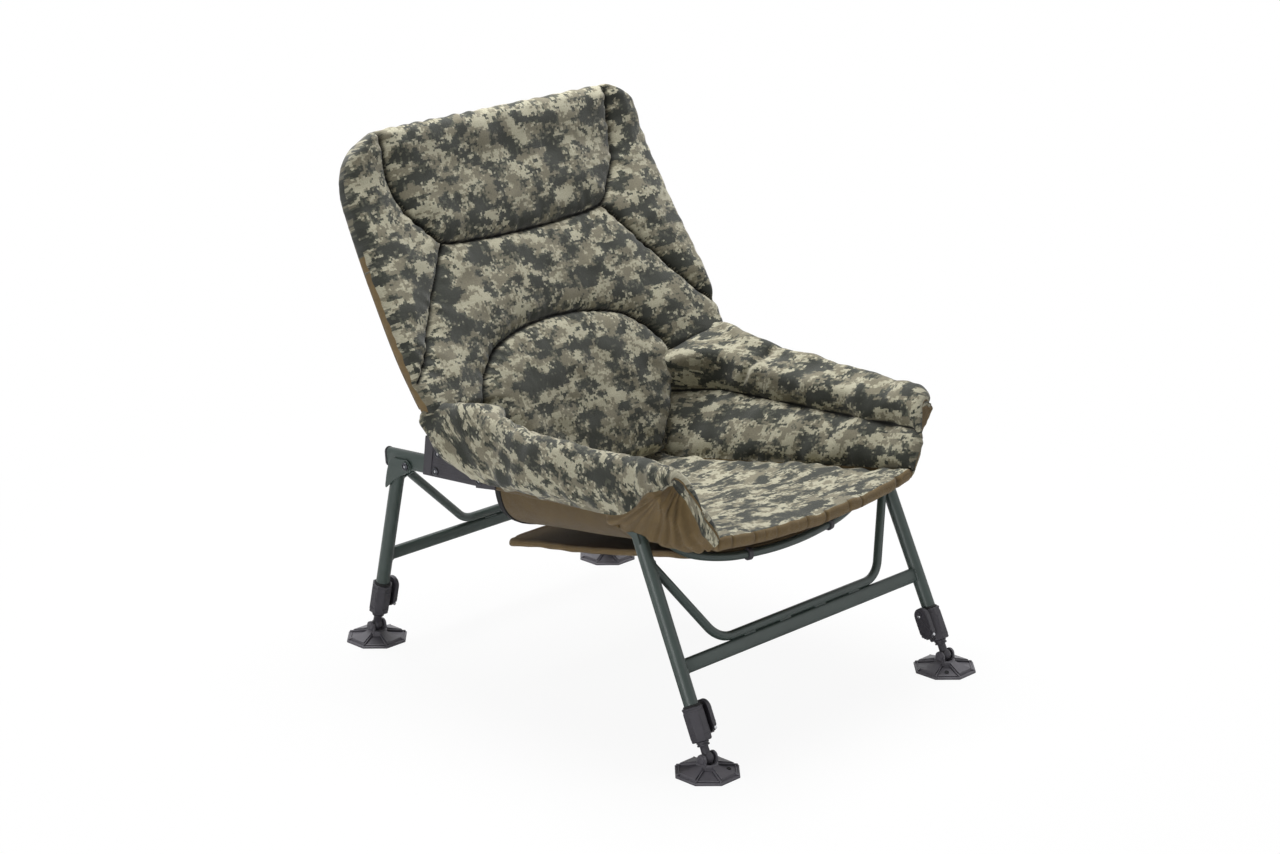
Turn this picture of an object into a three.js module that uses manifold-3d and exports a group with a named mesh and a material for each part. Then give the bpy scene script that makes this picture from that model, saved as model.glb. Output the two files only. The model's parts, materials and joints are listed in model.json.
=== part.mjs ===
// Low folding armchair with a padded camouflage mattress on a tube frame.
// Millimetres, +Z up, the chair faces -Y, and its right-hand side is -X.
import * as THREE from 'three';
import { mergeVertices } from 'three/addons/utils/BufferGeometryUtils.js';
import Module from 'manifold-3d';

const wasm = await Module();
wasm.setup();

// Driving dimensions.
const gap = 0.3; // between neighbours that touch
const overrun = 6; // how far a cutting shape runs past a surface
const degree = Math.PI / 180;

const rail = {
  spacing: 532.6, // between the centre lines of the two rails
  wide: 15,
  tall: 31,
  wall: 1.5,
  rearOverhang: 48, // behind the rear pivot
  frontOverhang: 40, // ahead of the front pivot
  aboveDrop: 7.6, // centre line above the pivots
  sides: 6, // facets of each round edge
};
const pivots = {
  rearY: 282,
  rearZ: 320,
  span: 462,
  rise: 38.2, // the front pivot is higher than the rear one
};
const cap = { flange: 4, plug: 14 };
const frontBar = { forward: 57, drop: 108, inside: 30, sides: 8 };
const barClip = { apart: 180, long: 8, thick: 3.2, sides: 12 };
const tube = { radius: 11, wall: 1.5, sides: 16 };
const bracket = {
  play: 0.9, // between the leg tube and the bracket's walls
  sheet: 2.2,
  lobe: 10.8, // round end about the pivot
  reach: 29, // pivot to leg axis
  spineTop: 28,
  spineFoot: 47.7,
  tipDepth: 56,
  shoulder: 2,
};
const pivotBolt = { shank: 4, head: 6.6, headTall: 3.4, bush: 7.5, play: 0.3, sides: 10 };
const brace = { radius: 7, corner: 50, sides: 10, cornerSteps: 5 };
const crossbar = { tall: 23, wide: 12, sides: 5 };
const clamp = {
  across: 31,
  long: 52,
  lugWide: 9,
  lugOut: 9.5,
  lugLong: 13,
  pinRise: 13, // pin above the clamp's lower edge
  overlap: 30, // length of leg tube inside the clamp
};
const lever = {
  long: 50,
  wide: 27,
  thick: 8,
  standOff: 2.4, // slot between clamp and lever
  tail: 4.6, // below the pin
  slot: 17, // opening round the clamp's lug
  pin: 2.5,
  sides: 10,
};
const stem = {
  rod: 9,
  inside: 118, // length of rod above the collar
  collar: 9.6,
  collarLong: 7,
  neck: 6.4,
  neckLong: 9.1,
  ball: 9.5,
  trunnion: 3,
  trunnionReach: 14.2,
  sides: 10,
};
const foot = {
  across: 95,
  rim: 4,
  sunken: 10.5,
  raised: 17,
  hub: 15,
  ballHeight: 24,
  earThick: 3.4,
  earRadius: 8.5,
  earGap: 10.2,
  drain: 3,
  socketPlay: 2,
};
const frontLegs = {
  name: 'front',
  lean: 25.5,
  turned: 0,
  spacing: 539.8, // between the leg axes at the brackets
  splay: 0.02,
  barTop: 236,
  braceAxis: 229.5,
  braceCorner: 181, // half width of the brace at its corners
  braceTop: 91,
};
const rearLegs = {
  name: 'rear',
  lean: 12,
  turned: Math.PI,
  spacing: 525.4,
  splay: 0.016,
  barTop: 167,
  braceAxis: 159,
  braceCorner: 97,
  braceTop: 24,
};
const recliner = {
  hingeForward: 85, // ahead of the rear pivot, along the rail
  hingeRise: 34.1,
  plate: 2.4,
  inside: 24.6,
  rearFoot: 45.3,
  rearTop: 58.6,
  front: 211,
  bottom: 5,
  top: 60,
  slope: 0.27,
  step: 3,
  notch: 167,
  boltRise: 4.5,
  boltRear: 75.8,
  boltFront: 176.5,
};
const backTube = {
  radius: 10,
  wall: 1.5,
  top: 462,
  corner: 72,
  sides: 12,
  cornerSteps: 5,
};
const recline = 26.6; // backrest from upright
const back = {
  top: 506,
  bottom: -104,
  width: 676,
  wingFrom: 242, // the wings begin here, beside the frame's tubes
  behindCover: 0.6,
  cover: 1.8,
  coverGap: 1,
  seamThick: 30,
  crown: 14,
  crownReach: 20,
  cup: 34, // the wings come forward at the bottom
  cupTop: 420,
  headCurl: 22,
  curlFrom: 410,
  across: 26,
  along: 24,
  firstStep: 0.01,
  coverRim: 9,
  coverFrom: 7, // grid row of the cushion where the cover begins
};
const seat = {
  frontY: -352,
  rearY: 150,
  frontZ: 336,
  rearZ: 261,
  besideRail: 40.3, // from the rail's middle to the front corner
  rearHalf: 150,
  edgeRise: 12,
  thick: 28,
  rim: 15, // thickness at the hem
  bow: 14, // how far the front edge bows forward
  crownReach: 18,
  firstStep: 0.008,
  across: 16,
  along: 14,
};
const sling = {
  sheet: 2,
  rearY: 96,
  under: 1,
  aboveBar: 1,
  aroundNut: 1.5,
  climbShare: 0.84,
  turnDown: 0.84,
  firstStep: 0.01,
  along: 11,
};
const flap = {
  wide: 344,
  thick: 11,
  rearY: 172,
  rearZ: 193,
  corner: 24,
  sag: 4,
};
const bolster = {
  rearY: 190,
  frontY: -342,
  ridge: 467, // highest point of the padded roll
  thick: 54,
  sheet: 26, // the single padded layer at the front end
  thinShare: 0.75, // of that layer, behind and ahead of the sling
  clear: 1.5, // over the rail and its fittings
  besideSeat: 1,
  channelIn: 22, // sewn channel inboard of the rail's middle
  widest: 331,
  flareFrom: 135, // the foot turns outwards behind this, round the backrest
  flareOut: 64,
  flareUp: 56,
  frontLean: 5,
  along: 20,
};

// Values that follow from the driving dimensions.
const railSlope = Math.atan2(pivots.rise, pivots.span);
const railSpan = Math.hypot(pivots.rise, pivots.span);
const railLength = rail.rearOverhang + railSpan + rail.frontOverhang;
const seatFrontHalf = rail.spacing / 2 - seat.besideRail;
const frontPivot = { y: pivots.rearY - pivots.span, z: pivots.rearZ + pivots.rise };

// Finishes.
const finish = (color, roughness, metalness) =>
  new THREE.MeshStandardMaterial({ color, roughness, metalness });
const paint = finish(0x38463f, 0.45, 0.35);
const steel = finish(0x25262a, 0.4, 0.7);
const plastic = finish(0x2d2b33, 0.6, 0);
const camouflage = finish(0x7c7c68, 0.95, 0);
const canvas = finish(0x5c4e38, 0.9, 0);

// Small helpers.
const sides = [[-1, 'right'], [1, 'left']];
const between = (low, high, share) => low + (high - low) * share;
const smooth = (share) => {
  const t = Math.min(Math.max(share, 0), 1);
  return t * t * (3 - 2 * t);
};

// Geometry helpers.
function bare(geometry) {
  const copy = geometry.clone();
  copy.deleteAttribute('normal');
  copy.deleteAttribute('uv');
  return mergeVertices(copy);
}

function toSolid(geometry) {
  const merged = bare(geometry);
  return new wasm.Manifold(new wasm.Mesh({
    numProp: 3,
    vertProperties: new Float32Array(merged.attributes.position.array),
    triVerts: new Uint32Array(merged.index.array),
  }));
}

function toGeometry(solid) {
  const mesh = solid.getMesh();
  const geometry = new THREE.BufferGeometry();
  geometry.setAttribute('position', new THREE.BufferAttribute(mesh.vertProperties, 3));
  geometry.setIndex(new THREE.BufferAttribute(mesh.triVerts, 1));
  return geometry;
}

function join(...geometries) {
  return toGeometry(geometries.map(toSolid).reduce((all, next) => all.add(next)));
}

function cut(geometry, ...tools) {
  return toGeometry(tools.map(toSolid).reduce((left, tool) => left.subtract(tool), toSolid(geometry)));
}

function common(geometry, other) {
  return toGeometry(toSolid(geometry).intersect(toSolid(other)));
}

// The same shape on the other side of the middle plane, with its faces still outwards.
function onSide(geometry, side) {
  if (side > 0) return geometry;
  const copy = bare(geometry).scale(-1, 1, 1);
  const index = copy.index.array;
  for (let i = 0; i < index.length; i += 3) [index[i], index[i + 1]] = [index[i + 1], index[i]];
  return copy;
}

function circle(radius, sides) {
  const corner = (k) => new THREE.Vector2(
    radius * Math.cos((2 * Math.PI * k) / sides),
    radius * Math.sin((2 * Math.PI * k) / sides),
  );
  return new THREE.Shape(Array.from({ length: sides }, (_, k) => corner(k)));
}

function ring(radius, wall, sides) {
  const shape = circle(radius, sides);
  shape.holes.push(circle(radius - wall, sides));
  return shape;
}

function flatOval(wide, tall, sides) {
  const radius = wide / 2;
  const straight = tall / 2 - radius;
  const points = [];
  for (const end of [1, -1]) {
    for (let k = 0; k <= sides; k += 1) {
      const angle = (end > 0 ? 0 : Math.PI) + (Math.PI * k) / sides;
      points.push(new THREE.Vector2(radius * Math.cos(angle), end * straight + radius * Math.sin(angle)));
    }
  }
  return new THREE.Shape(points);
}

function prism(shape, depth) {
  return new THREE.ExtrudeGeometry(shape, { depth, bevelEnabled: false, curveSegments: 6 });
}

// A prism of a side outline given as (y, z), centred across x.
function sidePlate(points, thick) {
  const shape = new THREE.Shape(points.map(([y, z]) => new THREE.Vector2(y, z)));
  return prism(shape, thick).translate(0, 0, -thick / 2)
    .applyMatrix4(new THREE.Matrix4().makeBasis(
      new THREE.Vector3(0, 1, 0), new THREE.Vector3(0, 0, 1), new THREE.Vector3(1, 0, 0),
    ));
}

function rodAlongX(radius, length, sides) {
  return new THREE.CylinderGeometry(radius, radius, length, sides).rotateZ(Math.PI / 2);
}

function rodAlongZ(radius, from, to, sides) {
  return new THREE.CylinderGeometry(radius, radius, to - from, sides)
    .rotateX(Math.PI / 2).translate(0, 0, (from + to) / 2);
}

function block(wide, deep, tall) {
  return new THREE.BoxGeometry(wide, deep, tall);
}

// Turned shape about the z axis from (radius, height) pairs that start and end on the axis.
function turned(profile, sides) {
  const points = profile.map(([radius, height]) => new THREE.Vector2(radius, height));
  return new THREE.LatheGeometry(points, sides).rotateX(Math.PI / 2);
}

// A path through given stations, with one ring of a tube at each of them.
class StationPath extends THREE.Curve {
  constructor(stations) {
    super();
    this.stations = stations;
    this.steps = stations.length - 1;
  }

  getPoint(share) {
    const index = Math.min(Math.floor(share * this.steps), this.steps - 1);
    return this.stations[index].clone().lerp(this.stations[index + 1], share * this.steps - index);
  }

  getTangentAt(share) {
    const index = Math.round(share * this.steps);
    const before = this.stations[Math.max(index - 1, 0)];
    const here = this.stations[index];
    const after = this.stations[Math.min(index + 1, this.steps)];
    const into = here.clone().sub(before).normalize();
    const out = after.clone().sub(here).normalize();
    return into.add(out).normalize();
  }

  getSpacedPoints() {
    return this.stations.map((station) => station.clone());
  }
}

// Stations of straight runs with round corners between them.
function bentPath(corners, radius, steps) {
  const stations = [corners[0]];
  for (let i = 1; i < corners.length - 1; i += 1) {
    const into = corners[i].clone().sub(corners[i - 1]).normalize();
    const out = corners[i + 1].clone().sub(corners[i]).normalize();
    const turn = into.angleTo(out);
    const start = corners[i].clone().addScaledVector(into, -radius * Math.tan(turn / 2));
    const side = out.clone().addScaledVector(into, -out.dot(into)).normalize();
    for (let k = 0; k <= steps; k += 1) {
      const angle = (turn * k) / steps;
      stations.push(start.clone()
        .addScaledVector(into, radius * Math.sin(angle))
        .addScaledVector(side, radius * (1 - Math.cos(angle))));
    }
  }
  stations.push(corners[corners.length - 1]);
  return new StationPath(stations);
}

function tubeAlong(path, shape) {
  return new THREE.ExtrudeGeometry(shape, { steps: path.steps, bevelEnabled: false, extrudePath: path });
}

// Stations from 0 to 1 with a narrow first and last step, for a pad's blunt edge.
const edged = (count, first) => [0, ...Array.from(
  { length: count - 1 }, (_, k) => between(first, 1 - first, k / (count - 2)),
), 1];

// A closed pad between two surfaces that meet all round its edge, with stations given as shares.
function pad(upper, lower, acrossShares, alongShares) {
  const [across, along] = [acrossShares.length - 1, alongShares.length - 1];
  const positions = [];
  const index = [];
  const onRim = (i, j) => i === 0 || j === 0 || i === across || j === along;
  const number = new Map();
  const vertex = (layer, i, j) => {
    const key = `${onRim(i, j) ? 'rim' : layer} ${i} ${j}`;
    if (!number.has(key)) {
      const surface = layer === 'upper' ? upper : lower;
      number.set(key, positions.length / 3);
      positions.push(...surface(acrossShares[i], alongShares[j]).toArray());
    }
    return number.get(key);
  };
  for (let i = 0; i < across; i += 1) {
    for (let j = 0; j < along; j += 1) {
      for (const layer of ['upper', 'lower']) {
        const [a, b, c, d] = [[i, j], [i + 1, j], [i + 1, j + 1], [i, j + 1]]
          .map(([p, q]) => vertex(layer, p, q));
        if (layer === 'upper') index.push(a, b, c, a, c, d);
        else index.push(a, c, b, a, d, c);
      }
    }
  }
  const geometry = new THREE.BufferGeometry();
  geometry.setAttribute('position', new THREE.Float32BufferAttribute(positions, 3));
  geometry.setIndex(index);
  return geometry;
}

// A closed loft through rings of points, with a point at the middle of each end.
function loft(rings) {
  const around = rings[0].length;
  const positions = rings.flatMap((points) => points.flatMap((point) => point.toArray()));
  const index = [];
  for (let r = 0; r < rings.length - 1; r += 1) {
    for (let k = 0; k < around; k += 1) {
      const next = (k + 1) % around;
      const [a, b] = [r * around + k, r * around + next];
      const [c, d] = [b + around, a + around];
      index.push(a, c, b, a, d, c);
    }
  }
  for (const r of [0, rings.length - 1]) {
    const middle = rings[r].reduce((sum, point) => sum.add(point), new THREE.Vector3());
    middle.divideScalar(around);
    const centre = positions.length / 3;
    positions.push(...middle.toArray());
    for (let k = 0; k < around; k += 1) {
      const [a, b] = [r * around + k, r * around + ((k + 1) % around)];
      if (r === 0) index.push(centre, a, b);
      else index.push(centre, b, a);
    }
  }
  const geometry = new THREE.BufferGeometry();
  geometry.setAttribute('position', new THREE.Float32BufferAttribute(positions, 3));
  geometry.setIndex(index);
  return geometry;
}

function add(parent, name, geometry, material) {
  const mesh = new THREE.Mesh(geometry, material);
  mesh.name = name;
  parent.add(mesh);
  return mesh;
}

// Height that a list of [place, value] pairs, in rising order of place, gives at a place.
function alongPairs(pairs, place) {
  const after = pairs.findIndex(([at]) => at >= place);
  if (after === 0) return pairs[0][1];
  if (after < 0) return pairs[pairs.length - 1][1];
  const [[from, low], [to, high]] = [pairs[after - 1], pairs[after]];
  return between(low, high, (place - from) / (to - from));
}

// Bolts and bushes: one turned solid along x, from its outer head to its inner nut.
function boltAlongX(from, to, bushes) {
  const profile = [[0, from - pivotBolt.headTall]];
  const ring2 = (radius, start, end) => profile.push([radius, start], [radius, end]);
  ring2(pivotBolt.head, from - pivotBolt.headTall, from - pivotBolt.play);
  let at = from - pivotBolt.play;
  for (const [start, end] of bushes) {
    ring2(pivotBolt.shank, at, start);
    ring2(pivotBolt.bush, start, end);
    at = end;
  }
  ring2(pivotBolt.shank, at, to + pivotBolt.play);
  ring2(pivotBolt.head, to + pivotBolt.play, to + pivotBolt.headTall);
  profile.push([0, to + pivotBolt.headTall]);
  return turned(profile, pivotBolt.sides).rotateY(Math.PI / 2);
}

const boltHole = (length) => rodAlongX(pivotBolt.shank + gap, length, pivotBolt.sides);

// Seat rails, in a group at the rear pivot whose -Y runs up along the rail.
const railHalf = rail.spacing / 2;

function railBody() {
  const outer = flatOval(rail.wide, rail.tall, rail.sides);
  outer.holes.push(flatOval(rail.wide - 2 * rail.wall, rail.tall - 2 * rail.wall, rail.sides));
  const body = prism(outer, railLength).rotateX(Math.PI / 2).translate(0, rail.rearOverhang, rail.aboveDrop);
  const long = rail.wide + 2 * overrun;
  const holes = [[0, 0], [railSpan, 0], [recliner.boltRear, recliner.boltRise],
    [recliner.boltFront, recliner.boltRise]]
    .map(([forward, rise]) => boltHole(long).translate(0, -forward, rise));
  return cut(body, ...holes);
}

function railCap() {
  const flange = prism(flatOval(rail.wide, rail.tall, rail.sides), cap.flange);
  const inner = 2 * (rail.wall + gap);
  const plug = prism(flatOval(rail.wide - inner, rail.tall - inner, rail.sides), cap.plug + gap)
    .translate(0, 0, -cap.plug - gap);
  return join(flange, plug).rotateX(-Math.PI / 2)
    .translate(0, rail.rearOverhang + gap, rail.aboveDrop);
}

// Front bar: out of both rails, then down and forward under the front of the seat.
const barRadius = rail.wide / 2 - rail.wall - 2 * gap;
const barShares = [
  // across, forward, down
  [1, 0.05, 0], [0.991, 0.153, 0.034], [0.965, 0.333, 0.117], [0.935, 0.437, 0.242],
  [0.901, 0.47, 0.373], [0.845, 0.491, 0.569], [0.713, 0.637, 0.771], [0.488, 0.842, 0.919],
  [0.225, 0.974, 0.981],
];
const barPoint = ([across, forward, down]) => new THREE.Vector3(
  across * railHalf,
  rail.rearOverhang - railLength - forward * frontBar.forward,
  rail.aboveDrop - down * frontBar.drop,
);
const barLine = (() => {
  const inShare = -frontBar.inside / frontBar.forward;
  const half = [[1, inShare, 0], [1, inShare / 8, 0], ...barShares].map(barPoint);
  const rightHalf = half.map((p) => new THREE.Vector3(-p.x, p.y, p.z)).reverse();
  const spline = new THREE.CatmullRomCurve3([...half, barPoint([0, 1, 1]), ...rightHalf]);
  return new StationPath(spline.getPoints(3 * half.length));
})();

// Share of the bar's length at a place across the chair, which falls steadily from left to right.
function barShareAt(x) {
  let [low, high] = [0, 1];
  while (high - low > gap / railLength) {
    const middle = (low + high) / 2;
    if (barLine.getPoint(middle).x > x) low = middle;
    else high = middle;
  }
  return (low + high) / 2;
}

// Middle of the front bar at a place across the chair, in the chair's own frame.
const seatTilt = new THREE.Matrix4().makeRotationX(-railSlope).setPosition(0, pivots.rearY, pivots.rearZ);
const barAt = (x) => barLine.getPoint(barShareAt(x)).applyMatrix4(seatTilt);

function clipPath(side, long) {
  const share = barShareAt((side * barClip.apart) / 2);
  const middle = barLine.getPoint(share);
  const direction = barLine.getTangentAt(share);
  return new StationPath([-1, 1].map((end) => middle.clone().addScaledVector(direction, (end * long) / 2)));
}

const clipRadius = barRadius + 2 * gap + barClip.thick;
const barClipBody = (side) =>
  tubeAlong(clipPath(side, barClip.long), ring(clipRadius, barClip.thick, barClip.sides));

// Notches that leave room for the clips in the fabric at the front bar.
const clipRooms = () => sides.map(([side]) => tubeAlong(
  clipPath(side, barClip.long + 2 * barClip.thick), circle(clipRadius + 2 * gap, barClip.sides),
).applyMatrix4(seatTilt));

// Recliner housing: two wedge plates beside the rail, joined by a web on top of it.
function reclinerHousing() {
  const r = recliner;
  const railTop = rail.aboveDrop + rail.tall / 2;
  const topAt = (forward) => r.top - (forward - r.rearTop) * r.slope;
  const outline = [
    [-r.rearFoot, -r.bottom], [-r.rearTop, r.top], [-r.front, topAt(r.front)],
    [-r.front, -r.bottom], [-r.notch, -r.bottom - r.step], [-r.notch, -r.bottom],
  ];
  const plateX = r.inside / 2 + r.plate / 2;
  const plates = [-1, 1].map((s) => sidePlate(outline, r.plate).translate(s * plateX, 0, 0));
  const webFrom = r.hingeForward + backTube.radius + overrun;
  const webTo = r.rearTop + (r.top - railTop - r.plate - gap) / r.slope;
  const web = block(r.inside + r.plate, webTo - webFrom, r.plate)
    .translate(0, -(webFrom + webTo) / 2, railTop + gap + r.plate / 2);
  const long = r.inside + 2 * r.plate + 2 * overrun;
  const holes = [[r.boltRear, r.boltRise], [r.boltFront, r.boltRise], [r.hingeForward, r.hingeRise]]
    .map(([forward, rise]) => boltHole(long).translate(0, -forward, rise));
  return cut(join(...plates, web), ...holes);
}

const bracketHalf = tube.radius + bracket.play + bracket.sheet;

// One bracket: a sheet channel round the leg tube with two ears that straddle the rail.
function bracketBody() {
  const b = bracket;
  const innerHalf = tube.radius + b.play;
  const outerHalf = bracketHalf;
  const spineY = -b.reach - outerHalf;
  const inboard = b.lobe;
  const ear = [[0, b.lobe], [-b.reach, b.shoulder], [spineY * 0.86, -b.shoulder * 4],
    [spineY * 0.94, -b.tipDepth * 0.94], [spineY * 0.88, -b.tipDepth]];
  for (let k = 0; k <= 6; k += 1) {
    const angle = (-42 + k * 22) * degree;
    ear.push([inboard * Math.cos(angle), inboard * Math.sin(angle)]);
  }
  const plates = [-1, 1].map((s) => sidePlate(ear, b.sheet).translate(s * (innerHalf + b.sheet / 2), 0, 0));
  const channel = cut(
    rodAlongZ(outerHalf, -b.spineFoot, -b.spineTop, tube.sides).translate(0, -b.reach, 0),
    rodAlongZ(innerHalf, -b.spineFoot - overrun, -b.spineTop + overrun, tube.sides).translate(0, -b.reach, 0),
    block(2 * outerHalf + overrun, outerHalf + overrun, b.spineFoot * 2)
      .translate(0, -b.reach + (outerHalf + overrun) / 2 + b.sheet, -b.spineFoot),
  );
  const hole = boltHole(2 * outerHalf + 2 * overrun);
  return cut(join(...plates, channel), hole);
}

// Leg frame: everything that folds with one pair of legs, local -Z along the legs.
function legFrame(legs) {
  const frame = new THREE.Group();
  const half = legs.spacing / 2;
  const lean = legs.lean * degree;
  const pivotZ = legs.turned ? pivots.rearZ : frontPivot.z;
  const ballDepth = (pivotZ - foot.ballHeight + bracket.reach * Math.sin(lean)) / Math.cos(lean);
  const seatedAt = (bracket.spineTop + bracket.spineFoot) / 2;
  const clampFoot = ballDepth - stem.ball - stem.neckLong - stem.collarLong - gap;
  const tubeFoot = clampFoot - (clamp.long - clamp.overlap);
  const tubeTop = bracket.spineTop + 2 * gap;
  const legX = (depth) => half + (depth - seatedAt) * legs.splay;

  const legAxis = new THREE.Matrix4().makeRotationY(-Math.atan(legs.splay))
    .setPosition(half - seatedAt * legs.splay, -bracket.reach, 0);
  const onLeg = (geometry) => geometry.applyMatrix4(legAxis);
  const legCore = (radius) => onLeg(rodAlongZ(radius, -ballDepth, overrun, tube.sides));

  const crossSection = flatOval(crossbar.wide, crossbar.tall, crossbar.sides);
  const barDepth = legs.barTop + crossbar.tall / 2;
  const bar = prism(crossSection, legs.spacing + overrun).translate(0, 0, -(legs.spacing + overrun) / 2)
    .applyMatrix4(new THREE.Matrix4().makeBasis(
      new THREE.Vector3(0, 1, 0), new THREE.Vector3(0, 0, 1), new THREE.Vector3(1, 0, 0),
    )).translate(0, -bracket.reach, -barDepth);
  const bothCores = (radius) => [legCore(radius), onSide(legCore(radius), -1)];
  const trimmed = (geometry, halfWide) => {
    const long = 2 * (overrun + legs.spacing);
    const keep = block(2 * halfWide, long, long);
    return cut(common(geometry, keep), ...bothCores(tube.radius + gap));
  };
  add(frame, `${legs.name}_crossbar`, trimmed(bar, legX(legs.barTop)), paint);

  const run = (side) => [
    new THREE.Vector3(side * legX(legs.braceTop), -bracket.reach, -legs.braceTop + tube.radius),
    new THREE.Vector3(side * legs.braceCorner, -bracket.reach, -legs.braceAxis),
  ];
  const bracePath = bentPath([...run(1), ...run(-1).reverse()], brace.corner, brace.cornerSteps);
  const braceTube = tubeAlong(bracePath, circle(brace.radius, brace.sides));
  const besideBracket = half - bracketHalf - gap;
  const braceHalf = legs.braceTop > bracket.spineFoot ? legX(legs.braceTop) : besideBracket;
  add(frame, `${legs.name}_brace`, trimmed(braceTube, braceHalf), paint);

  for (const [side] of sides) {
    const word = side * (legs.turned ? -1 : 1) > 0 ? 'left' : 'right';
    const label = `${legs.name}_${word}`;
    const place = (name, geometry, material) =>
      add(frame, `${label}_${name}`, onSide(geometry, side), material);
    place('leg', onLeg(prism(ring(tube.radius, tube.wall, tube.sides), tubeFoot - tubeTop)
      .translate(0, 0, -tubeFoot)), paint);
    place('bracket', bracketBody().translate(half, 0, 0), paint);
    place('clamp', onLeg(clampBody().translate(0, 0, -clampFoot)), plastic);
    place('lever', onLeg(leverBody().translate(0, 0, -clampFoot)), plastic);
    place('stem', onLeg(stemRod().translate(0, 0, -clampFoot)), plastic);
    const ball = new THREE.Vector3(0, 0, -ballDepth).applyMatrix4(legAxis);
    place('foot', footBody().rotateX(lean).translate(ball.x, ball.y, ball.z), plastic);
  }

  const outer = new THREE.Group();
  outer.position.set(0, legs.turned ? pivots.rearY : frontPivot.y, pivotZ);
  outer.rotation.z = legs.turned;
  frame.rotation.x = -lean;
  outer.add(frame);
  return outer;
}

// Cam clamp at the end of a leg tube: z is 0 at its lower edge, its lever side is -X.
const clampFace = clamp.across / 2;
const pinX = clampFace + lever.standOff + lever.thick / 2;

function clampBody() {
  const eighth = new THREE.CylinderGeometry(
    clampFace / Math.cos(Math.PI / 8), clampFace / Math.cos(Math.PI / 8), clamp.long, 8,
  ).rotateY(Math.PI / 8).rotateX(Math.PI / 2).translate(0, 0, clamp.long / 2);
  const lug = block(clamp.lugOut + clampFace, clamp.lugWide, clamp.lugLong)
    .translate(-(clamp.lugOut + clampFace) / 2, 0, clamp.pinRise);
  const seatForTube = rodAlongZ(tube.radius + gap, clamp.long - clamp.overlap - gap, clamp.long + overrun,
    tube.sides);
  const through = rodAlongZ(stem.rod + gap, -overrun, clamp.long, stem.sides);
  const pinHole = new THREE.CylinderGeometry(lever.pin + gap, lever.pin + gap, clamp.lugWide * 2, lever.sides)
    .translate(-pinX, 0, clamp.pinRise);
  return cut(join(eighth, lug), seatForTube, through, pinHole);
}

function leverBody() {
  const half = lever.wide / 2;
  const low = clamp.pinRise - lever.tail;
  const high = low + lever.long;
  const outline = [[-half * 0.62, low], [half * 0.62, low], [half, low + half * 0.6],
    [half, high - half * 0.9], [half * 0.55, high], [-half * 0.55, high],
    [-half, high - half * 0.9], [-half, low + half * 0.6]];
  const plate = sidePlate(outline, lever.thick).translate(-pinX, 0, 0);
  const slot = block(lever.thick + overrun, clamp.lugWide + 2 * gap, lever.slot)
    .translate(-pinX, 0, clamp.pinRise);
  const pin = new THREE.CylinderGeometry(lever.pin, lever.pin, clamp.lugWide + lever.thick, lever.sides)
    .translate(-pinX, 0, clamp.pinRise);
  return join(cut(plate, slot), pin);
}

// Stem: rod inside the leg, collar, neck and ball with its two side pins.
function stemRod() {
  const s = stem;
  const collarTop = -gap;
  const neckTop = collarTop - s.collarLong;
  const ballZ = neckTop - s.neckLong - s.ball;
  const profile = [[0, s.inside], [s.rod, s.inside], [s.rod, collarTop], [s.collar, collarTop],
    [s.collar, neckTop], [s.neck, neckTop]];
  for (let k = 1; k <= 5; k += 1) {
    const angle = (48 - k * 23) * degree;
    profile.push([s.ball * Math.cos(angle), ballZ + s.ball * Math.sin(angle)]);
  }
  profile.push([0, ballZ - s.ball]);
  const body = turned(profile.reverse(), s.sides);
  const pins = rodAlongX(s.trunnion, 2 * s.trunnionReach, pivotBolt.sides).translate(0, 0, ballZ);
  return join(body, pins);
}

// Mud foot about its ball centre: eight facets, four raised and four sunken, and two ears.
function footBody() {
  const f = foot;
  const corner = f.across / 2 / Math.cos(Math.PI / 8);
  const hubCorner = f.hub / Math.cos(Math.PI / 8);
  const facets = (tall) => new THREE.CylinderGeometry(hubCorner, corner, tall - f.rim, 8)
    .rotateY(Math.PI / 8).rotateX(Math.PI / 2).translate(0, 0, (tall + f.rim) / 2);
  const plate = new THREE.CylinderGeometry(corner, corner, f.rim, 8)
    .rotateY(Math.PI / 8).rotateX(Math.PI / 2).translate(0, 0, f.rim / 2);
  const facetWide = f.across * Math.tan(Math.PI / 8);
  const wedge = (turn) => {
    const shape = new THREE.Shape([
      new THREE.Vector2(0, -f.hub / 2), new THREE.Vector2(facetWide / 2, f.across / 2),
      new THREE.Vector2(-facetWide / 2, f.across / 2),
    ]);
    return common(facets(f.raised), prism(shape, f.raised).rotateZ(turn));
  };
  const wedges = [0, 1, 2, 3].map((k) => wedge((k * Math.PI) / 2));
  const ears = [-1, 1].map((s) => {
    const outline = [[-f.earRadius * 1.25, f.rim], [f.earRadius * 1.25, f.rim]];
    for (let k = 0; k <= 6; k += 1) {
      const angle = (Math.PI * k) / 6;
      outline.push([f.earRadius * Math.cos(angle), f.ballHeight + f.earRadius * Math.sin(angle)]);
    }
    return sidePlate(outline, f.earThick).translate(s * (f.earGap + f.earThick / 2), 0, 0);
  });
  const socket = new THREE.SphereGeometry(stem.ball + foot.socketPlay, 10, 6)
    .rotateX(Math.PI / 2).translate(0, 0, f.ballHeight);
  const pinHole = rodAlongX(stem.trunnion + 2 * gap, 4 * f.earGap, pivotBolt.sides)
    .translate(0, 0, f.ballHeight);
  const drain = rodAlongZ(f.drain, -overrun, f.raised, lever.sides)
    .translate(-f.across / 4, -f.across / 4, 0);
  return cut(join(plate, facets(f.sunken), ...wedges, ...ears), socket, pinHole, drain)
    .translate(0, 0, -f.ballHeight);
}

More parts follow.
